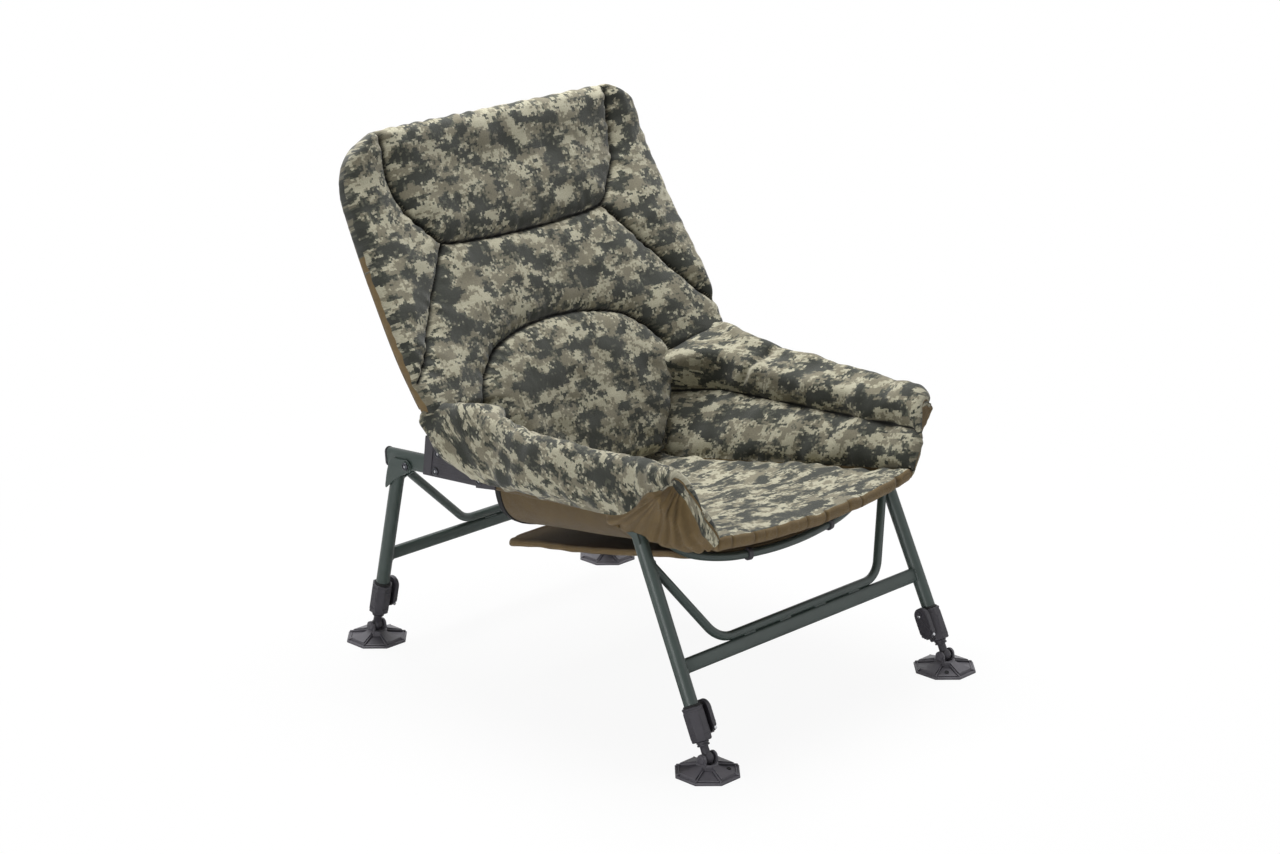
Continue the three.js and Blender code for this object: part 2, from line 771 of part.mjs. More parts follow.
// Backrest, in a group at the recline hinge whose +Z runs up along the back.
function backTubeBody() {
  const corners = [[1, 0], [1, 1], [-1, 1], [-1, 0]]
    .map(([x, z]) => new THREE.Vector3(x * railHalf, 0, z * backTube.top - (1 - z) * backTube.radius * 0.9));
  const path = bentPath(corners, backTube.corner, backTube.cornerSteps);
  const shape = ring(backTube.radius, backTube.wall, backTube.sides);
  const wide = rail.spacing + 4 * overrun + 2 * backTube.radius;
  const aboveHinge = block(wide, 4 * backTube.radius, 2 * backTube.top).translate(0, 0, backTube.top);
  const roundEnds = join(aboveHinge, rodAlongX(backTube.radius, wide, 2 * backTube.sides));
  return cut(common(tubeAlong(path, shape), roundEnds), boltHole(wide));
}

// Half width of the back cushion at a height above the hinge, as shares of its full height.
const backHalf = back.width / 2;
const backTall = back.top - back.bottom;
const backWidthShares = [
  [0, 0.34], [0.1, 0.5], [0.17, 0.585], [0.225, 0.64], [0.27, 0.78], [0.3, 0.93], [0.335, 0.99],
  [0.42, 1], [0.6, 0.985], [0.78, 0.965], [0.87, 0.955], [0.93, 0.93], [0.97, 0.86], [1, 0.74],
];
// Sewn lines on the back cushion as (half-width share, height share) pairs.
const headSeamShares = [[0.73, 1.02], [0.725, 0.93], [0.72, 0.86], [0.68, 0.79], [0.6, 0.73], [0.52, 0.685],
  [0.3, 0.672], [0, 0.668]];
const wingSeamShares = [[0.52, 0.685], [0.62, 0.61], [0.71, 0.545], [0.8, 0.475], [0.88, 0.41], [0.97, 0.35]];
const lumbarSeamShares = [[0.4, 0.02], [0.54, 0.13], [0.61, 0.25], [0.575, 0.305], [0.5, 0.35], [0.4, 0.39],
  [0.2, 0.42], [0, 0.43]];
const backPlace = ([across, up]) => new THREE.Vector2(across * backHalf, back.bottom + up * backTall);
const backSeams = [headSeamShares, wingSeamShares, lumbarSeamShares].map((line) => line.map(backPlace));

function distanceToLine(point, line) {
  let least = Infinity;
  for (let i = 1; i < line.length; i += 1) {
    const run = line[i].clone().sub(line[i - 1]);
    const share = point.clone().sub(line[i - 1]).dot(run) / run.lengthSq();
    const nearest = line[i - 1].clone().addScaledVector(run, Math.min(Math.max(share, 0), 1));
    least = Math.min(least, nearest.distanceTo(point));
  }
  return least;
}

const coverFront = -backTube.radius - back.behindCover - back.cover;
function backRear(x, z) {
  const cupping = back.cup * (x / backHalf) ** 2 * smooth(1 - z / back.cupTop);
  const curl = back.headCurl * smooth((z - back.curlFrom) / (back.top - back.curlFrom));
  return coverFront - cupping - curl;
}
const backWidthAt = (z) => backHalf * alongPairs(backWidthShares, (z - back.bottom) / backTall);

const backRows = edged(back.along, back.firstStep);
const backColumns = edged(back.across, back.firstStep);
const rounded = (share) => Math.sqrt(1 - (1 - Math.min(share, 1)) ** 2);

function backCushion() {
  const place = (u, v) => {
    const z = between(back.bottom, back.top, v);
    return [(2 * u - 1) * backWidthAt(z), z];
  };
  const edge = (u, v) => Math.min(
    (1 - Math.abs(2 * u - 1)) * backHalf, v * backTall, (1 - v) * backTall,
  );
  const rear = (u, v) => {
    const [x, z] = place(u, v);
    const inwards = (1 - rounded((2 * edge(u, v)) / back.seamThick)) * (back.seamThick / 2);
    return new THREE.Vector3(x, backRear(x, z) - back.coverGap - inwards, z);
  };
  const front = (u, v) => {
    const [x, z] = place(u, v);
    const here = new THREE.Vector2(Math.abs(x), z);
    const seam = Math.min(...backSeams.map((line) => distanceToLine(here, line)));
    const inwards = (1 - rounded((2 * edge(u, v)) / back.seamThick)) * (back.seamThick / 2);
    const fade = 1 - Math.exp(-Math.min(edge(u, v), seam) / back.crownReach);
    const thick = back.seamThick - inwards + back.crown * fade;
    return new THREE.Vector3(x, backRear(x, z) - back.coverGap - thick, z);
  };
  return pad(front, rear, backColumns, backRows);
}

// The cushion between the frame's tubes, and the wing that lies over a tube on either side.
function cushionWithin(from, to) {
  const deep = 2 * (back.top - back.bottom);
  return common(backCushion(), block(to - from, deep, deep).translate((from + to) / 2, 0, 0));
}
const backMiddle = () => cushionWithin(-back.wingFrom, back.wingFrom);
const backWing = () => cushionWithin(back.wingFrom + gap, back.width);

// Cover behind the cushion, on the same rows.
function backCover() {
  const rows = backRows.slice(back.coverFrom, -2);
  const shape = (offset) => (u, v) => {
    const z = between(back.bottom, back.top, v);
    const x = (2 * u - 1) * (backWidthAt(z) - back.coverRim);
    return new THREE.Vector3(x, backRear(x, z) + offset, z);
  };
  const rim = (u, v) => u <= 0 || u >= 1 || v === rows[0] || v === rows[rows.length - 1];
  const skin = (offset) => (u, v) => shape(rim(u, v) ? back.cover / 2 : offset)(u, v);
  return pad(skin(0), skin(back.cover), edged(back.across / 2, back.firstStep), rows);
}

// Soft seat, in the chair's own frame.
const seatShare = (y) => (y - seat.frontY) / (seat.rearY - seat.frontY);
const seatHalfAt = (y) => between(seatFrontHalf, seat.rearHalf, seatShare(y));
const seatTop = (x, y) => between(seat.frontZ, seat.rearZ, seatShare(y))
  + seat.edgeRise * (x / seatHalfAt(y)) ** 2;

function seatCushion() {
  const place = (u, v) => {
    const across = 2 * u - 1;
    const bow = seat.bow * (1 - across ** 2) * smooth(v);
    const y = between(seat.rearY, seat.frontY + seat.bow, v);
    return [across * seatHalfAt(y), y - bow];
  };
  const inset = (u, v) => Math.min(
    (1 - Math.abs(2 * u - 1)) * seatFrontHalf, Math.min(v, 1 - v) * (seat.rearY - seat.frontY),
  );
  const surface = (top) => (u, v) => {
    const [x, y] = place(u, v);
    const fade = Math.exp(-inset(u, v) / seat.crownReach);
    const half = between(seat.thick, seat.rim, fade) / 2;
    const shut = inset(u, v) > 0 ? half : 0;
    return new THREE.Vector3(x, y, seatTop(x, y) - seat.thick / 2 + (top ? shut : -shut));
  };
  const turnedRound = (top) => (u, v) => surface(top)(1 - u, v);
  return pad(turnedRound(true), turnedRound(false), edged(seat.across, seat.firstStep),
    edged(seat.along, seat.firstStep));
}

// Height of the middle line of a rail, and of the top of the sling between the rails.
const railZ = (y) => pivots.rearZ + (pivots.rearY - y) * Math.tan(railSlope)
  + rail.aboveDrop / Math.cos(railSlope);
const slingRiseShares = [[0, 0], [0.39, 0.01], [0.66, 0.08], [0.8, 0.18], [0.86, 0.26], [0.912, 0.37],
  [0.95, 0.5], [0.98, 0.7], [1, 1]];
const slingHalf = railHalf - rail.wide / 2 - gap;
const slingBottom = (y) => between(seat.frontZ, seat.rearZ, seatShare(y)) - seat.thick - sling.under;
const slingTop = (x, y) => between(
  slingBottom(y), railZ(y), alongPairs(slingRiseShares, Math.min(Math.abs(x) / slingHalf, 1)),
);

// Notches in the sling's front corners for the brackets and the nuts of their bolts.
function bracketNotches() {
  const rear = bracket.lobe + sling.aroundNut;
  const long = rear + railLength - railSpan;
  const low = -pivotBolt.head - sling.aroundNut;
  return sides.map(([side]) => block(2 * (bracketHalf + sling.aroundNut), long, 2 * rail.tall)
    .translate(side * railHalf, rear - railSpan - long / 2, low + rail.tall).applyMatrix4(seatTilt));
}

// The sling ends on the bar, but stops short of it where the bar climbs to the rails.
function slingFrontY(x) {
  const climbing = smooth((Math.abs(x) / slingHalf - sling.climbShare) / (1 - sling.climbShare) * 2);
  return barAt(x).y + climbing * (barRadius + sling.sheet + sling.aboveBar);
}

// Top of the sling, which comes down on to the front bar at its front edge.
function slingSurface(x, y) {
  const along = Math.min((y - sling.rearY) / (slingFrontY(x) - sling.rearY), 1);
  const onBar = barAt(x).z + barRadius + sling.sheet + sling.aboveBar;
  return between(slingTop(x, y), onBar, smooth((along - sling.turnDown) / (1 - sling.turnDown)));
}

// Sling: canvas from rail to rail and to the front bar, under the seat cushion.
const slingStationShares = [0, 0.39, 0.66, 0.8, 0.86, 0.912, 0.95, 0.98, 1];

function slingSheet() {
  const columns = [...slingStationShares.map((share) => (1 - share) / 2).reverse(),
    ...slingStationShares.slice(1).map((share) => (1 + share) / 2)];
  const skin = (depth) => (u, v) => {
    const rim = u <= 0 || v <= 0 || u >= 1 || v >= 1;
    const x = (1 - 2 * u) * slingHalf;
    const below = rim ? sling.sheet / 2 : depth;
    const y = between(sling.rearY, slingFrontY(x), v);
    const drawIn = 1 - ((sling.sheet - below) * (Math.abs(x) / slingHalf) ** 4) / slingHalf;
    return new THREE.Vector3(x * drawIn, y, slingSurface(x, y) - below);
  };
  const sheet = pad(skin(0), skin(sling.sheet), columns, edged(sling.along, sling.firstStep));
  const barRoom = tubeAlong(barLine, circle(barRadius + 2 * gap, frontBar.sides)).applyMatrix4(seatTilt);
  return cut(sheet, ...clipRooms(), ...bracketNotches(), barRoom);
}

// Flap: a flat padded panel from the front bar back under the sling.
const flapRowShares = [0, 0.008, 0.025, 0.05, 0.2, 0.4, 0.6, 0.8, 0.99, 1];
const flapColumnShares = [0, 0.012, 0.06, 0.25, 0.5, 0.75, 0.94, 0.988, 1];

function flapPanel() {
  const half = flap.wide / 2;
  const cornerIn = (v) => {
    const inward = Math.max(flap.corner - v * (flap.rearY - barAt(0).y), 0);
    return flap.corner - Math.sqrt(flap.corner ** 2 - inward ** 2);
  };
  const surface = (side) => (u, v) => {
    const across = 1 - 2 * u;
    const edge = barAt(across * half);
    const rim = u <= 0 || u >= 1 || v <= 0 || v >= 1;
    const middle = between(flap.rearZ, edge.z, v) - flap.sag * Math.sin(Math.PI * v);
    return new THREE.Vector3(
      across * (half - cornerIn(v)),
      between(flap.rearY, edge.y + barRadius + gap, v),
      middle + (rim ? 0 : (side * flap.thick) / 2),
    );
  };
  return cut(pad(surface(1), surface(-1), flapColumnShares, flapRowShares), ...clipRooms());
}

// Bolsters: the mattress edge turned up beside the seat and rolled over each rail. A side panel
// and an arm roll meet at a sewn channel. Rings run from the rear to the front.
// Pairs of (share of the length from the rear, share of the ridge height or thickness).
const ridgeHeightPairs = [[0, 0.935], [0.03, 0.975], [0.13, 1], [0.24, 0.985], [0.39, 0.968], [0.6, 0.97],
  [0.88, 0.975], [0.95, 0.96], [1, 0.935]];
const ridgeOutPairs = [[0, 0.9], [0.13, 0.7], [0.24, 0.5], [0.39, 0.64], [0.52, 0.6], [0.64, 0.46],
  [0.76, 0.32], [0.88, 0.24], [1, 0.2]];
const hemHeightPairs = [[0, 0.93], [0.02, 0.9], [0.05, 0.84], [0.106, 0.767], [0.212, 0.737], [0.379, 0.75],
  [0.54, 0.758], [0.7, 0.769], [0.778, 0.786], [0.86, 0.825], [0.94, 0.885], [1, 0.9]];
const channelRisePairs = [[0, 0.6], [0.3, 0.5], [0.8, 0.25], [1, 0.2]];
const endFillShares = [0.72, 0.92, 0.985];
// Section points: sideways in shares of the roll's thickness, upwards in shares of its height.
const innerRollShares = [[-0.1, 0.3], [0.02, 0.62]];
const outerRollShares = [[-0.4, 0.9], [-0.2, 0.98], [0, 1], [0.24, 0.92], [0.38, 0.74], [0.45, 0.48],
  [0.38, 0.2]];
const slopeShares = [[0.3, 0.2], [0.62, 0.2], [0.88, 0.12]];
const underStationShares = [0.93, 0.912, 0.86, 0.8, 0.66];

function bolsterAt(r) {
  const b = bolster;
  const share = (1 - Math.cos((Math.PI * r) / b.along)) / 2;
  const y = between(b.rearY, b.frontY, share);
  const railTop = railZ(y) + rail.tall / 2 / Math.cos(railSlope);
  const railFront = pivots.rearY - railSpan - rail.frontOverhang;
  const pastRail = smooth((railFront - y) / (railFront - b.frontY) * 2);
  const ridgeZ = b.ridge * alongPairs(ridgeHeightPairs, share);
  const flare = smooth((y - b.flareFrom) / (b.rearY - b.flareFrom));
  const seatEnd = Math.min(y, seat.rearY);
  const crease = [
    seatHalfAt(seatEnd) + b.besideSeat + b.flareOut * flare,
    seatTop(seatHalfAt(seatEnd), seatEnd) - seat.thick / 2 + b.flareUp * flare,
  ];
  const placed = (section, middle) => {
    const fill = endFillShares[Math.min(r, b.along - r)] ?? 1;
    const leanAt = (z) => b.frontLean * (1 - (z - crease[1]) / (ridgeZ - crease[1])) * share ** 4;
    return section.map(([x, z]) => new THREE.Vector3(
      between(middle[0], x, fill), y + leanAt(z), between(middle[1], z, fill),
    ));
  };
  return {
    y, railTop, pastRail, ridgeZ, crease, placed,
    thick: between(b.thick, b.sheet, pastRail),
    ridgeX: railHalf + b.thick * alongPairs(ridgeOutPairs, share),
    hemZ: b.ridge * alongPairs(hemHeightPairs, share),
    channel: [railHalf - b.channelIn, railTop + b.sheet * alongPairs(channelRisePairs, share)],
    free: Math.max(pastRail, smooth((y - sling.rearY) / b.sheet)),
  };
}

function sidePanelRing(r) {
  const b = bolster;
  const at = bolsterAt(r);
  const foot = [at.crease[0], at.crease[1] + seat.rim / 2];
  const top = [at.channel[0] - gap, at.channel[1]];
  const onSlope = (along) => [between(foot[0], top[0], along), between(foot[1], top[1], along)];
  const length = Math.hypot(top[0] - foot[0], top[1] - foot[1]);
  const normal = [(foot[1] - top[1]) / length, (top[0] - foot[0]) / length];
  const off = (point, by) => [point[0] + normal[0] * by, point[1] + normal[1] * by];
  const slope = slopeShares.map(([along, rise]) => off(onSlope(along), rise * at.thick));
  const under = underStationShares.map((station, k) => {
    const x = Math.max(station * slingHalf, foot[0] + (underStationShares.length - k) * b.besideSeat);
    const thin = off(onSlope(1 - k / underStationShares.length), -b.sheet * b.thinShare);
    const onSling = slingSurface(x + sling.sheet, at.y) + b.clear;
    return [Math.min(between(x, thin[0], at.free), top[0]), between(onSling, thin[1], at.free)];
  });
  const middle = off(onSlope(1 / 2), -b.sheet / 4);
  return at.placed([foot, ...slope, top, ...under, [foot[0], foot[1] - seat.rim]], middle);
}

function armRollRing(r) {
  const b = bolster;
  const at = bolsterAt(r);
  const floor = between(at.railTop + b.clear, at.ridgeZ - b.sheet, at.pastRail);
  const tall = at.ridgeZ - at.channel[1];
  const outside = railHalf + recliner.inside / 2 + recliner.plate + pivotBolt.headTall + 2 * b.clear;
  const fold = at.thick / 8;
  const outward = ([x, z]) => [
    Math.min(at.ridgeX + x * at.thick, b.widest + x * fold), between(at.hemZ, at.ridgeZ, z),
  ];
  const section = [
    at.channel, ...innerRollShares.map(([x, z]) => [at.channel[0] + x * at.thick, at.channel[1] + z * tall]),
    ...outerRollShares.map(outward), [outside + 2 * fold, at.hemZ + fold / 2], [outside + fold, at.hemZ],
    [outside, Math.max(at.hemZ + gap, floor - fold)], [outside - fold, floor], [railHalf, floor],
    [at.channel[0] + fold, between(at.channel[1], floor, at.pastRail / 2) - fold / 2],
    [at.channel[0], at.channel[1] - fold],
  ];
  return at.placed(section, [at.ridgeX, between(at.channel[1], at.ridgeZ, 1 / 2)]);
}

// Room under a bolster for the rail, the housing, the bolts and the front bar.
function bolsterRoom() {
  const c = bolster.clear;
  const r = recliner;
  const railTop = rail.aboveDrop + rail.tall / 2 + c;
  const topAt = (forward) => r.top + c - (forward - r.rearTop) * r.slope;
  const meets = r.rearTop + (r.top + c - railTop) / r.slope;
  const low = -2 * rail.tall;
  const ahead = rail.rearOverhang - railLength - bracket.spineTop;
  const outline = [[rail.rearOverhang, low], [rail.rearOverhang, railTop], [-r.rearTop + 2 * c, railTop],
    [-r.rearTop + 2 * c, topAt(r.rearTop)], [-meets, railTop], [ahead, railTop], [ahead, low]];
  const wide = r.inside + 2 * (r.plate + pivotBolt.headTall + c);
  const hardware = sidePlate(outline, wide).translate(railHalf, 0, 0);
  const bar = tubeAlong(barLine, circle(barRadius + c, frontBar.sides));
  return [hardware, bar].map((piece) => piece.applyMatrix4(seatTilt));
}

const alongBolster = (ringAt) => Array.from({ length: bolster.along + 1 }, (_, r) => ringAt(r));
const sidePanelBody = () => cut(loft(alongBolster(sidePanelRing)), ...bolsterRoom());
const armRollBody = () => cut(loft(alongBolster(armRollRing)), ...bolsterRoom());

// Assembly.
const chair = new THREE.Group();
const seatFrame = new THREE.Group();
seatFrame.position.set(0, pivots.rearY, pivots.rearZ);
seatFrame.rotation.x = -railSlope;
chair.add(seatFrame);

for (const [side, word] of sides) {
  const place = (name, geometry, material) =>
    add(seatFrame, `${word}_${name}`, onSide(geometry.translate(railHalf, 0, 0), side), material);
  place('seat_rail', railBody(), paint);
  place('rail_cap', railCap(), plastic);
  place('recliner_housing', reclinerHousing(), plastic);
  const r = recliner;
  const plateOuter = r.inside / 2 + r.plate;
  const railFace = rail.wide / 2 + pivotBolt.play;
  const plateInner = r.inside / 2 - pivotBolt.play;
  const bushes = [[-plateInner, -railFace], [railFace, plateInner]];
  [['rear', r.boltRear], ['front', r.boltFront]].forEach(([end, forward]) => {
    place(`recliner_${end}_bolt`,
      boltAlongX(-plateOuter, plateOuter, bushes).translate(0, -forward, r.boltRise), steel);
  });
  place('backrest_bolt',
    boltAlongX(-plateOuter, plateOuter, []).translate(0, -r.hingeForward, r.hingeRise), steel);
  for (const [legs, forward] of [[rearLegs, 0], [frontLegs, railSpan]]) {
    const offset = legs.spacing / 2 - railHalf;
    const earInner = tube.radius + bracket.play - pivotBolt.play;
    const earOuter = tube.radius + bracket.play + bracket.sheet;
    const faces = [[offset - earInner, -railFace], [railFace, offset + earInner]];
    const bushFaces = faces.filter(([from, to]) => to - from > bracket.sheet);
    place(`${legs.name}_pivot_bolt`,
      boltAlongX(offset - earOuter, offset + earOuter, bushFaces).translate(0, -forward, 0), steel);
  }
}
add(seatFrame, 'front_bar', tubeAlong(barLine, circle(barRadius, frontBar.sides)), paint);
for (const [side, word] of sides) add(seatFrame, `${word}_bar_clip`, barClipBody(side), plastic);

for (const legs of [frontLegs, rearLegs]) chair.add(legFrame(legs));

const backrest = new THREE.Group();
backrest.position.set(0, -recliner.hingeForward, recliner.hingeRise);
backrest.rotation.x = railSlope - recline * degree;
seatFrame.add(backrest);
add(backrest, 'backrest_frame', backTubeBody(), paint);
add(backrest, 'backrest_cover', backCover(), canvas);
add(backrest, 'back_cushion', backMiddle(), camouflage);
for (const [side, word] of sides) add(backrest, `${word}_back_wing`, onSide(backWing(), side), camouflage);

add(chair, 'seat_cushion', seatCushion(), camouflage);
add(chair, 'seat_sling', slingSheet(), canvas);
add(chair, 'under_seat_flap', flapPanel(), canvas);
for (const [side, word] of sides) {
  add(chair, `${word}_side_panel`, onSide(sidePanelBody(), side), camouflage);
  add(chair, `${word}_arm_roll`, onSide(armRollBody(), side), camouflage);
}

// The origin is below the middle of the chair, on the ground.
chair.updateMatrixWorld(true);
const bounds = new THREE.Box3().setFromObject(chair, true);
chair.position.y = -(bounds.min.y + bounds.max.y) / 2;
chair.position.z = -bounds.min.z;
chair.updateMatrixWorld(true);

export default chair;
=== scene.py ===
"""Low folding armchair: a camouflage mattress on a tube frame with four adjustable legs.

Metres in the scene, millimetres in the sizes below. +Z is up, the chair faces -Y, and its
right-hand side is -X."""

import json
import math

import bmesh
import bpy
import numpy as np
from bpy.props import FloatProperty, FloatVectorProperty, PointerProperty
from bpy.types import Operator, Panel, PropertyGroup
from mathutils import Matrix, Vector
from mathutils.kdtree import KDTree


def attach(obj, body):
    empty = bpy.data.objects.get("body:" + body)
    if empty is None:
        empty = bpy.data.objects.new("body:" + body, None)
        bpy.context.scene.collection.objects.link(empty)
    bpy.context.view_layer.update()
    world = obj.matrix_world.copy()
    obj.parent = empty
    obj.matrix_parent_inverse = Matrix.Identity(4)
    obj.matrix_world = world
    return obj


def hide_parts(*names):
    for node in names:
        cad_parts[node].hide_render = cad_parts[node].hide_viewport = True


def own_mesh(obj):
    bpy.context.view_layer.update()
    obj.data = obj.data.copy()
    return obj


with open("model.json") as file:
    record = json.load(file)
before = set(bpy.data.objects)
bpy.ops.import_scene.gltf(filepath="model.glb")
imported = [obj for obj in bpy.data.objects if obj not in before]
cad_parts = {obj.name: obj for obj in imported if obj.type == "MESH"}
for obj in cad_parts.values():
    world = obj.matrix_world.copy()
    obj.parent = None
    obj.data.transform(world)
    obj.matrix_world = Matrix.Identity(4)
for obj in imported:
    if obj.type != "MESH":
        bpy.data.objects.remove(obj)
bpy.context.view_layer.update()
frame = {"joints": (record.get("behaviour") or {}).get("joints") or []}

bl_info = {
    "name": "Folding armchair with a padded mattress",
    "version": (1, 0, 0),
    "blender": (4, 5, 0),
    "location": "3D View > Sidebar > Armchair",
    "description": "Makes the tubes, fittings, feet and padding of a folding armchair",
    "category": "Add Mesh",
}

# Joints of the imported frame, and the places that they give.
JOINTS = {joint["name"]: joint for joint in frame["joints"]}
REAR_PIVOT = 1000 * np.array(JOINTS["rear_leg_fold"]["pos_m"])
FRONT_PIVOT = 1000 * np.array(JOINTS["front_leg_fold"]["pos_m"])
HINGE = 1000 * np.array(JOINTS["recline"]["pos_m"])

# Frame sizes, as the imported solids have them.
RAIL = dict(half=266.3, wide=15, tall=31, rise=7.6, behind=48, ahead=40)
SPAN, RISE = 462, 38.2  # from the rear pivot to the front one
SLOPE = math.atan2(RISE, SPAN)
RAIL_SPAN = math.hypot(RISE, SPAN)
RAIL_END = RAIL_SPAN + RAIL["ahead"]
LEAN_BACK = math.radians(26.6)
TUBE = 11
BAR = 6.4
PIVOT_PLACE = (0, 282, 320)  # the rear pivot's place in the design that the soft sizes are counted from
SIDES = ((-1, "right"), (1, "left"))
HOUSING = dict(inside=12.3, plate=2.4, head=3.4, hinge_forward=85, hinge_rise=34.1)
HOUSING_OUTSIDE = HOUSING["inside"] + HOUSING["plate"]
BRACKET = dict(inner=11.9, sheet=2.2, lobe=10.8, reach=29, top=28, foot=47.7, tip=56, shoulder=2)
CLAMP = dict(across=31, long=52, overlap=30, pin=13)
LEVER = dict(long=50, wide=27, thick=8, stand_off=2.4, tail=4.6)
STEM = dict(rod=9, collar=9.6, collar_long=7, neck=6.4, neck_long=9.1, ball=9.5)
FOOT = dict(across=95, rim=4, sunken=10.5, raised=17, hub=15, ball=24, ear=8.5, ear_gap=10.2, ear_thick=3.4)
FRONT_LEGS = dict(
    name="front", pivot=FRONT_PIVOT, turned=0, lean=25.5, half=269.9, splay=0.02,
    bar_top=236, brace_axis=229.5, brace_corner=181, brace_top=91,
)
REAR_LEGS = dict(
    name="rear", pivot=REAR_PIVOT, turned=math.pi, lean=12, half=262.7, splay=0.016,
    bar_top=167, brace_axis=159, brace_corner=97, brace_top=24,
)
BACK = dict(
    top=506, bottom=-104, half=338, behind=13.4, seam=30, cup=34, cup_top=420, curl=22, curl_from=410,
    tube=10, tube_top=462, tube_corner=72,
)
SEAT = dict(front=-352, rear=150, tuck=14, front_z=336, rear_z=261, front_half=226, rear_half=150,
            edge_rise=12, thick=28, rim=15, hem=20, bow=14)
SLING = dict(rear=96, sheet=2, half=258.5)
FLAP = dict(half=172, thick=11, rear_y=172, rear_z=193, corner=24, sag=4)
ARM = dict(rear=190, front=-342, ridge=467, thick=54, sheet=26, channel_in=22, widest=331,
           flare_from=135, flare_up=12, spread=60, front_sheet=44, clear=1.5)
# How the front end of each arm leans back: by how far, how late it starts, the hem's share, its folds.
SET_BACKS = ((45, 1.6, 0, 6.5), (22, 2.2, 0.3, 1))
# Bolts of one side: name, place forward and up from the rear pivot, offset outwards, half length and
# how far the heads stand off.
BOLTS = [
    ("recliner_rear_bolt", 75.8, 4.5, 0, HOUSING_OUTSIDE, 0),
    ("recliner_front_bolt", 176.5, 4.5, 0, HOUSING_OUTSIDE, 0),
    ("backrest_bolt", HOUSING["hinge_forward"], HOUSING["hinge_rise"], 0, HOUSING_OUTSIDE, 0),
    ("rear_pivot_bolt", 0, 0, REAR_LEGS["half"] - RAIL["half"], 14.1, 1.3),
    ("front_pivot_bolt", RAIL_SPAN, 0, FRONT_LEGS["half"] - RAIL["half"], 14.1, 1.3),
]
# The camera's angles in degrees, its distance and its target in metres.
CAMERA = dict(azimuth=-45.812, elevation=18.016, far=5.0244, target=(0.1694, 0.2001, 0.3),
              lens=85, sensor=36)
# Lamps: name, place in metres, width in metres, power in watts.
LAMPS = (("top light", (0.4, 0.65, 2.9), 1.9, 120), ("side light", (-3.0, -0.9, 0.35), 1.1, 34),
         ("far light", (2.2, -3.2, 1.6), 1.8, 10))
LAMPS_AIM = (0, 0, 0.35)
WORLD_LIGHT = 0.12


# Settings that a user would change.
def tone(name, red, green, blue, about):
    """A colour property from 8-bit display values."""
    linear = [((c / 255 + 0.055) / 1.055) ** 2.4 if c > 10 else c / 255 / 12.92 for c in (red, green, blue)]
    return FloatVectorProperty(name=name, description=about, subtype="COLOR", size=3, min=0, max=1,
                               default=linear)


class ArmchairColours(PropertyGroup):
    darkest: tone("Charcoal blotches", 56, 58, 52, "Darkest tone of the camouflage print")
    dark: tone("Olive blotches", 84, 85, 74, "Second tone of the camouflage print")
    middle: tone("Khaki ground", 124, 119, 101, "Third tone of the camouflage print")
    light: tone("Pale blotches", 174, 170, 148, "Lightest tone of the camouflage print")
    canvas: tone("Canvas", 101, 84, 55, "Plain brown canvas of the sling, the hems and the undersides")
    # The drain holes take this black as painted shade.
    binding: tone("Binding", 24, 24, 25, "Black binding tape, clamp rings and drain holes")
    paint: tone("Paint", 56, 68, 64, "Powder coat of the tubes")
    plastic: tone("Plastic", 54, 52, 58, "Moulded plastic of the clamps, caps and housings")
    rubber: tone("Feet", 86, 84, 90, "Moulded feet")
    steel: tone("Steel", 74, 75, 80, "Blackened bolts")
    bright: tone("Rivets", 172, 173, 176, "Bright ends of the bolts and rivets")


class ArmchairSizes(PropertyGroup):
    crown: FloatProperty(name="Crown", description="How far the back's panels stand over their seams",
                         default=0.018, min=0.005, max=0.04, unit="LENGTH", precision=4)
    pucker: FloatProperty(name="Puckers", description="Height of the gathers beside the seams",
                          default=0.0021, min=0, max=0.006, unit="LENGTH", precision=4)
    print_step: FloatProperty(name="Print step", description="Width of one square of the camouflage print",
                              default=0.0034, min=0.001, max=0.02, unit="LENGTH", precision=4)
    blotch: FloatProperty(name="Blotch", description="Usual width of a blotch of the print",
                          default=0.036, min=0.01, max=0.2, unit="LENGTH", precision=4)
    weave: FloatProperty(name="Weave", description="Pitch of the canvas threads",
                         default=0.0011, min=0.0003, max=0.004, unit="LENGTH", precision=4)
    edge: FloatProperty(name="Edge", description="Rounding of the moulded and folded edges",
                        default=0.0007, min=0.0001, max=0.002, unit="LENGTH", precision=4)


# Small mathematics.
def move(x=0.0, y=0.0, z=0.0):
    matrix = np.eye(4)
    matrix[:3, 3] = x, y, z
    return matrix


def turn(axis, angle):
    """Rotation about the x (0), y (1) or z (2) axis."""
    matrix = np.eye(4)
    a, b = (axis + 1) % 3, (axis + 2) % 3
    matrix[a, a] = matrix[b, b] = math.cos(angle)
    matrix[a, b], matrix[b, a] = -math.sin(angle), math.sin(angle)
    return matrix


def placed(matrix, points):
    return np.asarray(points, float) @ matrix[:3, :3].T + matrix[:3, 3]


def ease(share):
    t = np.clip(share, 0, 1)
    return t * t * (3 - 2 * t)


def between(low, high, share):
    return low + (high - low) * share


def rim_round(share):
    """Height of a quarter circle, from 0 at the rim to 1 where the share reaches 1."""
    return np.sqrt(1 - (1 - np.clip(share, 0, 1)) ** 2)


